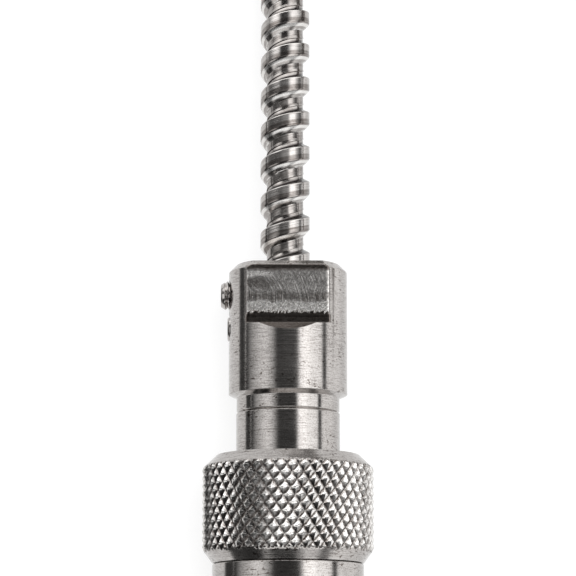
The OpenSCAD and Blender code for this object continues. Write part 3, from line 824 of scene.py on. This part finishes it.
def clamp_shape(settings):
    """Rings of points of the clamp body, which has two wrench flats, and which way its faces are cut."""
    body_r, neck_r, mouth_r = width("clamp_body") / 2, 5.115 * MM, 2.645 * MM
    joint, end = HAND.reach("guide_sleeve", 0), HAND.reach("clamp_body", 1)
    ferrule = HAND.reach("sheath_ferrule", 0)
    bore_r = width("sheath_ferrule") / 2 + SLIDE_FIT
    spigot_r = bore_r + SPIGOT_WALL
    small, lip = 0.06 * MM, 0.12 * MM
    turned = soften([
        (0, body_r - settings.chamfer), (settings.chamfer, body_r),
        (settings.length - settings.shoulder, body_r), (settings.length, neck_r),
        (joint - settings.witness, neck_r), (joint, neck_r - settings.witness)], small)

    # A flat ends in a relief groove, a wall that leans back, and a bevel out to the turned surface.
    off, wall = settings.flat_offset, settings.flat_length + settings.relief
    floor, wall_top, wall_lean = off - 0.13 * MM, off + 0.85 * MM, 0.12 * MM
    bevel_end = wall + wall_lean + body_r - wall_top
    flat = soften([
        (0, off - settings.flat_bevel), (settings.flat_bevel, off), (settings.flat_length, off),
        (settings.flat_length + 0.3 * settings.relief, floor), (wall, floor),
        (wall + wall_lean, wall_top), (bevel_end, body_r)], small)
    inner, outer, beside = 28, 20, 0.012
    rest_edge = math.acos(floor / body_r)

    def around(edge):
        """Angles of the columns, with one on each edge of the flats and one close on each side."""
        quarter = ([(edge - beside) * i / inner for i in range(inner + 1)] + [edge]
                   + [edge + beside + (math.pi / 2 - edge - beside) * i / outer for i in range(outer)])
        half = quarter + [math.pi / 2] + [math.pi - a for a in reversed(quarter[1:])]
        return half + [math.pi + a for a in half]

    def ring(s):
        """The turn and radius of each column at a distance down the axis."""
        radius = polyline(turned, s)
        depth = polyline(flat, s) if s < bevel_end else 2 * body_r
        edge = math.acos(min(1, depth / radius)) if s < wall else rest_edge
        spots = []
        for turn in around(edge):
            here = min(radius, depth / max(abs(math.cos(turn)), 0.01))
            on_edge = s < wall and abs(abs(math.cos(turn)) - math.cos(edge)) < 1e-6
            spots.append((turn, here - settings.edge_wear if on_edge else here))
        return spots

    # Rings at every corner of the two profiles, where a column crosses the bevel, and in between.
    places = {s for s, _ in turned + flat}
    for (a, low), (b, high) in zip(flat, flat[1:]):
        for i in range(1, inner + 1):
            depth = body_r * math.cos((rest_edge - beside) * i / inner)
            if a >= wall - 1e-9 and low < depth < high:
                places.add(a + (b - a) * (depth - low) / (high - low))
    corners = sorted(places)
    for a, b in zip(corners, corners[1:]):
        parts = int((b - a) / (0.7 * MM)) + 1
        places.update(a + (b - a) * k / parts for k in range(1, parts))
    filled = sorted(places)
    rows = [[HAND.at(radius, turn, s) for turn, radius in ring(s)] for s in filled]
    turns = around(rest_edge)
    inside = soften([
        (neck_r - settings.witness, joint), (spigot_r, joint), (spigot_r, end), (bore_r, end),
        (bore_r, ferrule), (mouth_r, ferrule), (mouth_r, lip), (mouth_r + lip, 0)], small)
    for radius, s in inside[1:]:
        rows.append([HAND.at(radius, turn, s) for turn in turns])
    top, top_r = ring(0), mouth_r + lip
    for share in (0.03, 0.5, 0.97):
        rows.append([HAND.at(top_r + (radius - top_r) * share, turn, 0) for turn, radius in top])

    def lean(k, j):
        """Which way a face is cut, so that the end of a flat follows an edge of the mesh."""
        if k + 1 >= len(filled) or filled[k] < wall - 1e-9 or filled[k] > bevel_end:
            return 0
        return 1 if math.sin(2 * (turns[j] + 1e-4)) > 0 else -1

    return rows, lean


def screw_cutter(node, axis):
    """A tapped hole's outline with its edge broken, to cut from the clamp body."""
    body_r, r = width("clamp_body") / 2, width(node, 2) / 2 + CLOSE_FIT
    return [axis.ring(radius, s, SCREW_COLUMNS) for radius, s in (
        (r, 0.3 * MM), (r, body_r - 3.3 * MM), (r + 0.05 * MM, body_r - 3.0 * MM),
        (r + 1.2 * MM, body_r - 1.6 * MM))]


# ------------------------------------------------------------------ screws and knurl

SCREW_COLUMNS = 48


def screw_axis(node):
    centre, high = middle(node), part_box(node)[1]
    return Axis((high.x, centre.y, centre.z), (-1, 0, 0), (0, 0, 1), (0, 1, 0))


def threaded(axis, start, stop, radius_at, pitch, depth, columns):
    """Rings of points of a helical thread between two places, where it fades out."""
    count = math.ceil((stop - start) / pitch * 12)
    rows = []
    for k in range(count + 1):
        s = start + (stop - start) * k / count
        fade = min(1, (s - start) / (0.5 * pitch), (stop - s) / (0.5 * pitch))
        row = []
        for j in range(columns):
            wave = (s / pitch - j / columns) % 1
            dip = min(1, max(0, (abs(2 * wave - 1) - 0.12) / 0.8))
            cut = depth * (dip * fade + 0.5 * (1 - fade))
            row.append(axis.at(radius_at(s) - cut, TURN * j / columns, s))
        rows.append(row)
    return rows


def grub_screw(name, node):
    """A set screw with a bevel at each end and a hexagon socket."""
    axis, columns = screw_axis(node), SCREW_COLUMNS
    length, r = width(node, 0), width(node, 2) / 2
    bevel, pitch, depth = 0.35 * MM, 0.5 * MM, 0.28 * MM
    hexagon, lip, socket, drill = 0.75 * MM, 0.05 * MM, 1.15 * MM, 1.4 * MM
    rows = [axis.ring(0.3 * r, 0, columns), axis.ring(r - bevel, 0, columns)]
    rows += threaded(axis, bevel, length - bevel, lambda s: r, pitch, depth, columns)
    rows += [axis.ring(r - bevel, length - 0.02 * MM, columns),
             axis.ring(r - bevel - 0.03 * MM, length, columns)]
    for grow, s in ((lip, 0), (0, lip), (0, socket)):
        row = []
        for j in range(columns):
            from_flat = (TURN * j / columns + TURN / 12) % (TURN / 6) - TURN / 12
            row.append(axis.at((hexagon + grow) / math.cos(from_flat), TURN * j / columns, length - s))
        rows.append(row)
    rows.append(axis.ring(0.1 * MM, length - drill, columns))
    return piece(name, *skin(rows), "screw_steel")


class Knurl:
    """Pyramids rolled around an axis, between right-hand and left-hand grooves.

    The mesh follows the grooves: a column of it runs along a right-hand groove, and a column less a
    row along a left-hand one, so that each pyramid has four flat sides and sharp edges.
    """

    def __init__(self, axis, settings, count, outline, grip, scale=1.0):
        self.axis, self.outline, self.share = axis, outline, settings.crest
        self.fine = 2 * settings.fine
        self.columns = count * self.fine
        self.depth, self.left = settings.depth * scale, settings.left_share
        rise = settings.rise_right * scale, settings.rise_left * scale
        self.row = 1 / (1 / rise[0] + 1 / rise[1]) / self.fine
        self.lean = self.row / rise[0] * self.fine
        self.crest = max(radius for _, radius in outline)
        self.centre = (grip[0] + grip[1]) / 2
        self.half = round((grip[1] - grip[0]) / 2 / self.row)
        self.ends = [self.centre + side * self.half * self.row for side in (-1, 1)]

    def height(self, i, k):
        """Height at a column and row of the mesh, from 0 in a groove to 1 at a crest."""
        right, left = (min(2 * min(n % self.fine, -n % self.fine) / self.fine / self.share, 1)
                       for n in (i, i - k))
        return min(right, 1 - self.left * (1 - left))

    def rings(self):
        """Rings of points from one end of the grip to the other."""
        rings = []
        for k in range(-self.half, self.half + 1):
            s = self.centre + k * self.row
            outer, whole = polyline(self.outline, s), round(k * self.lean)
            ring = []
            for n in range(self.columns):
                dent = self.depth * (1 - self.height(n + whole, k)) if abs(k) < self.half else 0
                turn = TURN * (n + whole - k * self.lean) / self.columns
                ring.append(self.axis.at(min(outer, self.crest - dent), turn, s))
            rings.append(ring)
        return rings

    def faces(self, first):
        """Faces of the grip, whose first ring has this number."""
        def spot(i, k):
            return (first + self.half + k) * self.columns + (i - round(k * self.lean)) % self.columns

        faces = []
        for k in range(-self.half, self.half + 1):
            for i in range(self.columns):
                here, beside = spot(i, k), spot(i + 1, k)
                if k == -self.half:
                    faces.append((here, beside, spot(i + 1, k + 1)))
                elif k == self.half:
                    faces.append((here, beside, spot(i, k - 1)))
                elif (i % self.fine) + (i - k) % self.fine == self.fine - 1:
                    below, above = spot(i, k - 1), spot(i + 1, k + 1)
                    faces += [(here, below, above), (beside, above, below)]
                else:
                    faces += [(here, beside, spot(i + 1, k + 1)), (here, spot(i, k - 1), beside)]
        return faces

    def rolled(self, face):
        """Whether a face of the finished piece is inside the grip and below the outline."""
        place = face.center - self.axis.start
        s = place.dot(self.axis.along)
        out = (place - s * self.axis.along).length
        lowest = self.crest - self.depth - 0.05 * MM
        return (self.ends[0] < s < self.ends[1]
                and lowest < out < min(polyline(self.outline, s), self.crest) - 0.002 * MM)


def knurled(name, knurl, rest):
    """A closed piece: an outline with a knurl rolled onto it, and the rest of its rings of points."""
    def turned(profile):
        return [knurl.axis.ring(radius, s, knurl.columns) for s, radius in profile]

    before = turned(spot for spot in knurl.outline if spot[0] < knurl.ends[0])
    after = turned(spot for spot in knurl.outline if spot[0] > knurl.ends[1])
    grip, first = knurl.rings(), len(before)
    gap = range(first, first + len(grip) - 1)
    points, faces = skin(before + grip + after + rest, True, gap=gap)
    obj = piece(name, points, faces + knurl.faces(first), "turned_steel", 32)
    obj.data.materials.append(finish("knurled_steel"))
    for face in obj.data.polygons:
        face.material_index = int(knurl.rolled(face))
    height = obj.data.attributes.new("height", "FLOAT", "POINT")
    for vertex, value in zip(obj.data.vertices, height.data):
        place = vertex.co - knurl.axis.start
        out = (place - place.dot(knurl.axis.along) * knurl.axis.along).length
        value.value = min(1, max(0, 1 - (knurl.crest - out) / knurl.depth))
    return obj


# ------------------------------------------------------------------ stage


class RELEASE_OT_stage(Operator):
    """Set up the floor, the light tent, the lamp and the camera"""

    bl_idname = "release.stage"
    bl_label = "Stage and camera"

    def execute(self, context):
        scene = context.scene
        settings = scene.release.stage
        scene.view_settings.view_transform = "Standard"
        data = bpy.data.cameras.new("camera")
        data.lens = data.sensor_width * settings.distance / settings.across
        data.clip_start, data.clip_end = 0.01, 20
        camera = put("camera", data)
        aim = Vector((0, HAND.start.y - settings.aim, HAND.start.z))
        toward = Vector((0, -math.sin(settings.tilt), math.cos(settings.tilt)))
        camera.location = aim + toward * settings.distance
        camera.rotation_euler = (settings.tilt, 0, 0)
        scene.camera = camera
        self.floor()
        self.tent()
        scene.world = self.world()
        self.lamp()
        return {"FINISHED"}

    def floor(self):
        """Plain paper to the camera, which metal mirrors as white, dimmer to the left of the object."""
        size = 6.0
        mesh = bpy.data.meshes.new("floor")
        mesh.from_pydata([(-size, -size, 0), (size, -size, 0), (size, size, 0), (-size, size, 0)],
                         [], [(0, 1, 2, 3)])
        f = Finish("pale_floor")
        x, y = f.parts(f.place(), "XY")
        dim = (-1 * x).step(34.0, 44.0) * (1 - y.step(70.0, 110.0)) * 0.93
        mirrored = f.emission(grey(1), 1 - dim + 0.3 * x.step(14.0, 34.0))
        shade = f.add("ShaderNodeBsdfDiffuse", None, {"Color": grey(0.26)})
        seen = f.add("ShaderNodeAddShader", None, {0: f.emission(grey(1), 0.785), 1: shade})
        other = f.add("ShaderNodeBsdfDiffuse", None, {"Color": grey(0.85)})
        for ray in ("Is Glossy Ray", "Is Transmission Ray"):
            other = f.blend(f.ray(ray), other, mirrored)
        f.output(f.blend(f.ray("Is Camera Ray"), other, seen))
        mesh.materials.append(f.material)
        floor = put("floor", mesh)

    def tent(self):
        """A dome that only reflections see: soft boxes either side of a dark gap overhead."""
        radius, columns, rings = 3.0, 48, 24
        dome = Axis((0, 0, 0), (0, 0, 1), (1, 0, 0), (0, 1, 0))
        rows = []
        for k in range(1, rings + 1):
            tilt = math.pi / 2 * k / rings
            rows.append(dome.ring(radius * math.sin(tilt), radius * math.cos(tilt), columns))
        points, faces = skin(rows)
        mesh = bpy.data.meshes.new("light_tent")
        mesh.from_pydata(points, [], faces[:-1])
        f = Finish("tent_light")
        x, y, z = f.parts(f.place(), "XYZ")
        angle = f.maths("ARCTAN2", x, z)
        slant = f.maths("ARCTAN2", y, (x * x + z * z) ** 0.5) * math.degrees(1)
        share = (angle + math.pi / 2) / math.pi
        top = 2.5

        def arch(levels):
            """Light by the angle from straight overhead, in degrees to the right."""
            stops = [((a + 90) / 180, level / top) for a, level in levels]
            return f.add("ShaderNodeValToRGB", {"stops": stops}, {0: share})

        over = arch((
            (-90, 0.03), (-86, 0.06), (-80, 0.32), (-73, 0.62), (-65, 0.85), (-55, 1.2), (-45, 1.3),
            (-38, 1.1), (-32, 0.8), (-27, 0.45), (-22, 0.08), (-15, 0.05), (12, 0.05), (18, 0.1),
            (22, 1.1), (25, 2.0), (30, 2.2), (40, 2.2), (44, 1.85), (58, 1.75), (67, 1.6), (70, 1.0),
            (72, 0.08), (78, 0.08), (81, 1.2), (90, 1.5)))
        far = arch(((-90, 1.2), (-72, 1.9), (-52, 2.5), (-34, 1.6), (-22, 0.03), (14, 0.03), (24, 0.8),
                    (36, 1.9), (60, 2.1), (90, 1.5)))
        farthest = arch(((-90, 2.2), (-40, 2.5), (40, 2.4), (90, 1.6)))
        near = arch(((-90, 0.4), (-80, 0.06), (-60, 0.03), (-14, 0.03), (4, 0.16), (24, 0.34), (90, 0.5)))
        band = arch(((-90, 0.3), (-70, 0.12), (-40, 0.12), (-22, 0.2), (-5, 0.45), (12, 0.5), (18, 0.8),
                     (26, 2.3), (46, 2.3), (56, 0.9), (68, 0.3), (78, 0.1), (86, 0.5), (90, 0.8)))
        rim = arch(((-90, 0.05), (-60, 0.05), (-47, 1.4), (60, 1.4), (76, 0.2), (90, 0.4)))
        low = arch(((-90, 0.05), (20, 0.05), (44, 0.9), (50, 1.0), (62, 0.4), (78, 0.15), (90, 0.3)))
        # From the camera's side to the far side, each arch takes over from the last between two slants.
        light = f.mix(slant.step(9.9, 10.9), over, band)
        light = f.mix(slant.step(25.0, 31.0), light, far)
        light = f.mix(slant.step(42.0, 48.0), light, farthest)
        light = f.mix((-1 * slant).step(18.0, 27.0), light, near)
        light = f.mix((-1 * slant).step(46.0, 49.0), light, rim)
        light = f.mix((-1 * slant).step(61.0, 64.0), light, low)
        light = f.mix(slant.step(68.0, 76.0), light, grey(0.48))
        f.output(f.emission(light, top))
        mesh.materials.append(f.material)
        tent = put("light_tent", mesh)
        tent.location = (0, HAND.start.y, HAND.start.z)
        for kind in ("camera", "diffuse", "transmission", "volume_scatter", "shadow"):
            setattr(tent, "visible_" + kind, False)

    def world(self):
        """White behind everything, and a plain grey that lights the object."""
        f = Finish("studio", "World")
        seen = f.ray("Is Camera Ray")
        for ray in ("Is Glossy Ray", "Is Transmission Ray"):
            seen = f.maths("MAXIMUM", seen, f.ray(ray))
        plain, white = (
            f.add("ShaderNodeBackground", None, {"Color": grey(1), "Strength": strength})
            for strength in (0.55, 1.0))
        return f.output(f.blend(seen, plain, white))

    def lamp(self):
        data = bpy.data.lights.new("soft_lamp", "AREA")
        data.shape = "DISK"
        data.size = 0.7
        data.energy = 7.0
        lamp = put("soft_lamp", data)
        lamp.location = (0.15, 0.1, 0.9)
        lamp.rotation_euler = (-lamp.location).to_track_quat("-Z", "Y").to_euler()
        lamp.visible_glossy = False


# ------------------------------------------------------------------ pieces

COLLAR_DIAMONDS, COLLAR_SCALE = 28, 0.75  # of the camera end's knurl, beside the lock ring's
WIRE_BORE = 0.99 * MM  # radius in which the wire's sleeve slides at the camera end


class RELEASE_OT_sheath(Operator):
    bl_idname = "release.sheath"
    bl_label = "Sheath"

    def execute(self, context):
        mesh, route = wind_sheath(context.scene.release.sheath)
        sheath = dress("sheath", mesh, "sheath_steel", 50)
        stand_for(sheath, "hand", "sheath_steel", "sheath_lead", "sheath_coil", "sheath_tail")
        return {"FINISHED"}


class RELEASE_OT_clamp(Operator):
    """Build the milled clamp body with its two wrench flats and tapped holes"""

    bl_idname = "release.clamp"
    bl_label = "Clamp body"

    def execute(self, context):
        settings = context.scene.release.clamp
        rows, lean = clamp_shape(settings)
        body = piece("clamp_body_shell", *skin(rows, True, lean), "turned_steel", 30)
        for node in ("clamp_screw_upper", "clamp_screw_lower"):
            self.tap(body, node)
        body.data.materials.append(finish("milled_steel"))
        off, wall = settings.flat_offset, settings.flat_length + settings.relief
        body_r, near = width("clamp_body") / 2, 0.2 * MM
        for face in body.data.polygons:
            down = HAND.start.y - face.center.y
            high = abs(face.center.z - HAND.start.z)
            out = math.hypot(high, face.center.x - HAND.start.x)
            flat = abs(face.normal.z) > 0.8 and abs(high - off) < near and down < wall
            end = wall < down < 2 * wall and high > off - near and out < body_r - 0.01 * MM
            if flat or (end and abs(face.normal.z) > 0.3):
                face.material_index = 1
        stand_for(body, "hand", "turned_steel", "clamp_body")
        return {"FINISHED"}

    def tap(self, body, node):
        """Cuts a screw's hole from the clamp body."""
        cutter = piece("cutter", *skin(screw_cutter(node, screw_axis(node))), "turned_steel")
        hole = body.modifiers.new("hole", "BOOLEAN")
        hole.operation, hole.solver, hole.object = "DIFFERENCE", "EXACT", cutter
        depsgraph = bpy.context.evaluated_depsgraph_get()
        mesh = bpy.data.meshes.new_from_object(body.evaluated_get(depsgraph))
        body.modifiers.clear()
        body.data = mesh
        bpy.data.objects.remove(cutter)


class RELEASE_OT_screws(Operator):
    """Build the two hexagon-socket grub screws"""

    bl_idname = "release.screws"
    bl_label = "Set screws"

    def execute(self, context):
        for node in ("clamp_screw_upper", "clamp_screw_lower"):
            stand_for(grub_screw(node + "_thread", node), "hand", "screw_steel", node)
        return {"FINISHED"}


class RELEASE_OT_sleeve(Operator):
    """Turn the guide sleeve below the clamp body"""

    bl_idname = "release.sleeve"
    bl_label = "Guide sleeve"

    def execute(self, context):
        witness, edge = context.scene.release.clamp.witness, 0.2 * MM
        r = width("guide_sleeve") / 2
        start, end = HAND.reach("guide_sleeve", 0), HAND.reach("guide_sleeve", 1)
        spigot_end = HAND.reach("clamp_body", 1) + 0.05 * MM
        bore = width("plunger_rod") / 2 + SLIDE_FIT
        hold = width("sheath_ferrule") / 2 + SLIDE_FIT + SPIGOT_WALL + CLOSE_FIT
        sleeve = lathe("guide_sleeve_shell", HAND, [
            (hold, start), (r - witness, start), (r, start + witness), (r, end - edge),
            (r - edge, end), (bore, end), (bore, spigot_end), (hold, spigot_end)],
            "turned_steel", 128, 0.04 * MM)
        stand_for(sleeve, "hand", "turned_steel", "guide_sleeve")
        return {"FINISHED"}


class RELEASE_OT_ring(Operator):
    """Roll the diamond knurl onto the lock ring"""

    bl_idname = "release.ring"
    bl_label = "Lock ring"

    def execute(self, context):
        settings = context.scene.release.knurl
        start, end = HAND.reach("lock_ring", 0), HAND.reach("lock_ring", 1)
        r, barrel_r = width("lock_ring") / 2, width("barrel") / 2
        bore = width("guide_sleeve") / 2 + SLIDE_FIT
        chamfer, top, over = 1.4 * MM, start + 1.35 * MM, 0.75 * MM
        face_r, bottom = r - chamfer, end - chamfer
        outline = soften([(start, face_r), (top, r), (bottom, r), (end, barrel_r)], 0.05 * MM)
        knurl = Knurl(HAND, settings, settings.count, outline, (top - over, bottom + over))
        inside = soften([(barrel_r, end), (bore, end), (bore, start), (face_r, start)], 0.06 * MM)
        ring = knurled("lock_ring_knurled", knurl, [
            HAND.ring(radius, s, knurl.columns) for radius, s in inside[1:-1]])
        stand_for(ring, "lock_ring", "knurled_steel", "lock_ring")
        return {"FINISHED"}


class RELEASE_OT_barrel(Operator):
    """Turn the barrel and the rear cap behind it"""

    bl_idname = "release.barrel"
    bl_label = "Barrel and rear cap"

    def execute(self, context):
        start, end = HAND.reach("barrel", 0), HAND.reach("barrel", 1)
        r, rim = width("barrel") / 2, width("rear_cap") / 2
        cap_in, cap_end = HAND.reach("rear_cap", 0), HAND.reach("rear_cap", 1)
        seat, wall, step = HAND.reach("guide_sleeve", 1), 1.2 * MM, 0.5 * MM
        bore, inner = (width(node) / 2 + CLOSE_FIT for node in ("guide_sleeve", "rod_bush"))
        upper, lower = 0.12 * MM, 0.15 * MM
        barrel = lathe("barrel_tube", HAND, [
            (bore, start), (r - upper, start), (r, start + upper), (r, end - lower),
            (r - lower, end), (r - wall + step, end), (r - wall + step, cap_in),
            (r - wall, cap_in), (r - wall, seat), (bore, seat)], "turned_steel", 160, 0.04 * MM)
        stand_for(barrel, "hand", "turned_steel", "barrel")
        seat_r, front, back, mouth = r - wall + step - CLOSE_FIT, 0.4 * MM, 0.8 * MM, 0.3 * MM
        cap = lathe("rear_cap_turned", HAND, [
            (inner, cap_in), (seat_r, cap_in), (seat_r, end), (rim - front, end), (rim, end + front),
            *groove(rim, end + 1.5 * MM, end + 2.35 * MM, 0.25 * MM), (rim, cap_end - back),
            (rim - back, cap_end), (inner + mouth, cap_end), (inner, cap_end - mouth)],
            "turned_steel", 160, 0.07 * MM)
        stand_for(cap, "hand", "turned_steel", "rear_cap")
        return {"FINISHED"}


class RELEASE_OT_plunger(Operator):
    """Turn the plunger rod and its thumb button"""

    bl_idname = "release.plunger"
    bl_label = "Plunger"

    def execute(self, context):
        self.button()
        self.rod()
        return {"FINISHED"}

    def button(self):
        """Turns the button: a boss, and a disc with a round rim and a shallow dish."""
        boss, end = HAND.reach("thumb_button", 0), HAND.reach("thumb_button", 1)
        r, boss_r, small, rim = width("thumb_button") / 2, 3.2 * MM, 0.2 * MM, 0.9 * MM
        hole_r = width("plunger_rod") / 2 + CLOSE_FIT
        hole_end = HAND.reach("plunger_rod", 1) + CLOSE_FIT
        disc = boss + 1.3 * MM
        dish_r, dish = r - 1.4 * MM, 0.9 * MM
        bowl = (dish_r ** 2 + dish ** 2) / (2 * dish)
        dished = []
        for k in range(13):
            out = dish_r * (1 - k / 12)
            dished.append((max(out, CENTRE), end - (math.sqrt(bowl ** 2 - out ** 2) - (bowl - dish))))
        button = lathe("thumb_button_dished", HAND, [
            (hole_r, boss), (boss_r - small, boss), (boss_r, boss + small), (boss_r, disc),
            (r - 0.8 * MM, disc), (r - small, disc + 0.3 * MM), (r, disc + rim), (r, end - rim),
            (r - 0.25 * MM, end - 0.25 * MM), (r - rim, end), (dish_r + small, end), *dished,
            (CENTRE, hole_end), (hole_r, hole_end)], "polished_steel", 128, 0.1 * MM)
        stand_for(button, "plunger", "polished_steel", "thumb_button")

    def rod(self):
        """Turns the rod, with a hole for the wire's nipple and a groove for the clip."""
        start, end = HAND.reach("plunger_rod", 0), HAND.reach("plunger_rod", 1)
        clip, clip_end = HAND.reach("rod_clip", 0), HAND.reach("rod_clip", 1)
        r, near, far = width("plunger_rod") / 2, 0.3 * MM, 0.2 * MM
        clip_r = r - 0.4 * MM
        hold = width("wire_nipple") / 2 + CLOSE_FIT
        hold_end = HAND.reach("wire_nipple", 1) + CLOSE_FIT
        rod = lathe("plunger_rod_turned", HAND, [
            (hold, start), (r - near, start), (r, start + near), (r, clip), (clip_r, clip),
            (clip_r, clip_end), (r, clip_end), (r, end - far), (r - far, end), (CENTRE, end),
            (CENTRE, hold_end), (hold, hold_end)], "polished_steel", 72, 0.05 * MM)
        stand_for(rod, "plunger", "polished_steel", "plunger_rod")


class RELEASE_OT_spring(Operator):
    """Wind the return spring at its open length"""

    bl_idname = "release.spring"
    bl_label = "Return spring"

    def execute(self, context):
        wire, turns, per_turn, around = 0.4 * MM, 7, 40, 10
        radius = width("return_spring") / 2 - wire
        start, end = HAND.reach("return_spring", 0) + wire, HAND.reach("return_spring", 1) - wire
        rows = []
        for i in range(turns * per_turn + 1):
            part = i / (turns * per_turn)
            turn = TURN * turns * part + TURN / 4
            outward = math.cos(turn) * HAND.up + math.sin(turn) * HAND.side
            centre = HAND.at(radius, turn, start + (end - start) * part)
            section = Axis(centre, outward.cross(HAND.along), outward, HAND.along)
            rows.append(section.ring(wire, 0, around))
        spring = piece("return_spring_wire", *skin(rows), "spring_steel", 60)
        stand_for(spring, "hand", "spring_steel", "return_spring")
        seat = HAND.start.y - HAND.reach("guide_sleeve", 1)
        open_length = HAND.reach("return_spring", 1) - HAND.reach("guide_sleeve", 1)
        (open_length - 12 * MM) / open_length
        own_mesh(spring)
        return {"FINISHED"}


class RELEASE_OT_tip(Operator):
    """Turn the camera end: socket, swivelling collar with its tapered thread, and pin"""

    bl_idname = "release.tip"
    bl_label = "Camera end"

    def execute(self, context):
        self.socket()
        self.collar(context.scene.release.knurl)
        self.pin()
        return {"FINISHED"}

    def socket(self):
        """Turns the socket that holds the sheath, with the stub that the collar swivels on."""
        shoulder, end = TIP.reach("tip_collar", 0) - 0.1 * MM, TIP.reach("tip_socket", 1)
        r, swivel_r, bore, hold = width("tip_socket") / 2, 2.6 * MM, WIRE_BORE, 6 * MM
        mouth, front, back = width("sheath_lead") / 2 + 0.08 * MM, 0.5 * MM, 0.25 * MM
        socket = lathe("tip_socket_shell", TIP, [
            (mouth, 0), (r - front, 0), (r, front), *groove(r, 2.2 * MM, 3 * MM, 0.2 * MM),
            (r, shoulder - back), (r - back, shoulder), (swivel_r, shoulder), (swivel_r, end),
            (bore, end), (bore, hold), (mouth, hold)], "turned_steel", 96, 0.05 * MM)
        stand_for(socket, "hand", "turned_steel", "tip_socket")

    def pin(self):
        pin_r, small = width("release_pin") / 2, 0.2 * MM
        start, end = TIP.reach("release_pin", 0), TIP.reach("release_pin", 1)
        pin = lathe("release_pin_turned", TIP, [
            (CENTRE, start), (pin_r, start), (pin_r, end - small), (pin_r - small, end),
            (CENTRE, end)], "polished_steel", 48, 0.1 * MM)
        stand_for(pin, "release_pin", "polished_steel", "release_pin")

    def collar(self, settings):
        """Turns the collar: a knurled grip, a neck, the tapered thread and a plain nose."""
        start, end = TIP.reach("tip_collar", 0), TIP.reach("tip_collar", 1)
        r, bevel, margin = width("tip_collar") / 2, 0.5 * MM, 0.25 * MM
        grip_end = start + 6 * MM
        outline = soften([
            (start, r - bevel), (start + bevel, r), (grip_end - bevel, r), (grip_end, r - bevel)],
            0.04 * MM)
        grip = start + margin, grip_end - margin
        knurl = Knurl(TIP, settings, COLLAR_DIAMONDS, outline, grip, COLLAR_SCALE)
        thread, nose = grip_end + 1.4 * MM, end - 2.1 * MM
        neck, thread_r, taper, nose_r = 2.4 * MM, 1.75 * MM, 0.25 * MM, 1.25 * MM
        behind = soften([
            (r - bevel, grip_end), (neck + 0.6 * MM, grip_end), (neck, grip_end + 0.6 * MM),
            (neck, thread - 0.1 * MM), (neck - 0.1 * MM, thread), (1.55 * MM, thread)], 0.05 * MM)
        swivel, swivel_end = 2.64 * MM, TIP.reach("tip_socket", 1) + 0.1 * MM
        bore, wide, stop = 0.79 * MM, WIRE_BORE, swivel_end + 4.4 * MM
        inside = soften([
            (nose_r + 0.05 * MM, nose), (nose_r, nose + 0.05 * MM), (nose_r, end - 0.2 * MM),
            (nose_r - 0.2 * MM, end), (bore, end), (bore, stop), (wide, stop), (wide, swivel_end),
            (swivel, swivel_end), (swivel, start)], 0.04 * MM)
        rest = [TIP.ring(radius, s, knurl.columns) for radius, s in behind[1:]]
        rest += threaded(
            TIP, thread, nose, lambda s: thread_r - taper * (s - thread) / (nose - thread),
            0.5 * MM, 0.24 * MM, knurl.columns)
        rest += [TIP.ring(radius, s, knurl.columns) for radius, s in inside]
        collar = knurled("tip_collar_shell", knurl, rest)
        stand_for(collar, "swivel_collar", "knurled_steel", "tip_collar")


class RELEASE_OT_inner(Operator):
    """Finish the pieces inside: ferrule, bush, washers, ball, clips, wires and pins"""

    bl_idname = "release.inner"
    bl_label = "Inner pieces"

    def execute(self, context):
        for material, nodes in (
                ("brass", ("sheath_ferrule", "wire_nipple", "pin_sleeve")),
                ("bronze", ("rod_bush",)),
                ("rubber", ("bumper_washer",)),
                ("polished_steel", ("lock_ball",)),
                ("spring_steel", ("snap_ring", "tip_snap_ring", "rod_clip", "button_pin", "nipple_pin")),
                ("wire_steel", ("core_wire", "tip_wire", "spring_seat"))):
            for node in nodes:
                finish_node(node, material)
        return {"FINISHED"}


class RELEASE_PT_panel(Panel):
    """Lists the steps that dress the cable release"""

    bl_idname = "RELEASE_PT_panel"
    bl_label = "Cable release"
    bl_space_type = "VIEW_3D"
    bl_region_type = "UI"
    bl_category = "Release"

    def draw(self, context):
        layout = self.layout
        for operator in OPERATORS:
            layout.operator(operator.bl_idname)
        settings = context.scene.release
        for name in ("sheath", "clamp", "knurl", "finish", "stage"):
            group = getattr(settings, name)
            box = layout.box()
            box.label(text=name.capitalize())
            for key in group.__annotations__:
                box.prop(group, key)


OPERATORS = (
    RELEASE_OT_stage, RELEASE_OT_tip, RELEASE_OT_sheath, RELEASE_OT_clamp, RELEASE_OT_screws,
    RELEASE_OT_sleeve, RELEASE_OT_ring, RELEASE_OT_barrel, RELEASE_OT_plunger, RELEASE_OT_spring,
    RELEASE_OT_inner,
)
CLASSES = (
    SheathSettings, ClampSettings, KnurlSettings, FinishSettings, StageSettings, ReleaseSettings,
    *OPERATORS, RELEASE_PT_panel,
)


def register():
    for cls in CLASSES:
        bpy.utils.register_class(cls)
    bpy.types.Scene.release = PointerProperty(type=ReleaseSettings)


def unregister():
    del bpy.types.Scene.release
    for cls in reversed(CLASSES):
        bpy.utils.unregister_class(cls)


def main():
    register()
    for operator in OPERATORS:
        group, name = operator.bl_idname.split(".")
        getattr(getattr(bpy.ops, group), name)()


if __name__ == "__main__":
    main()
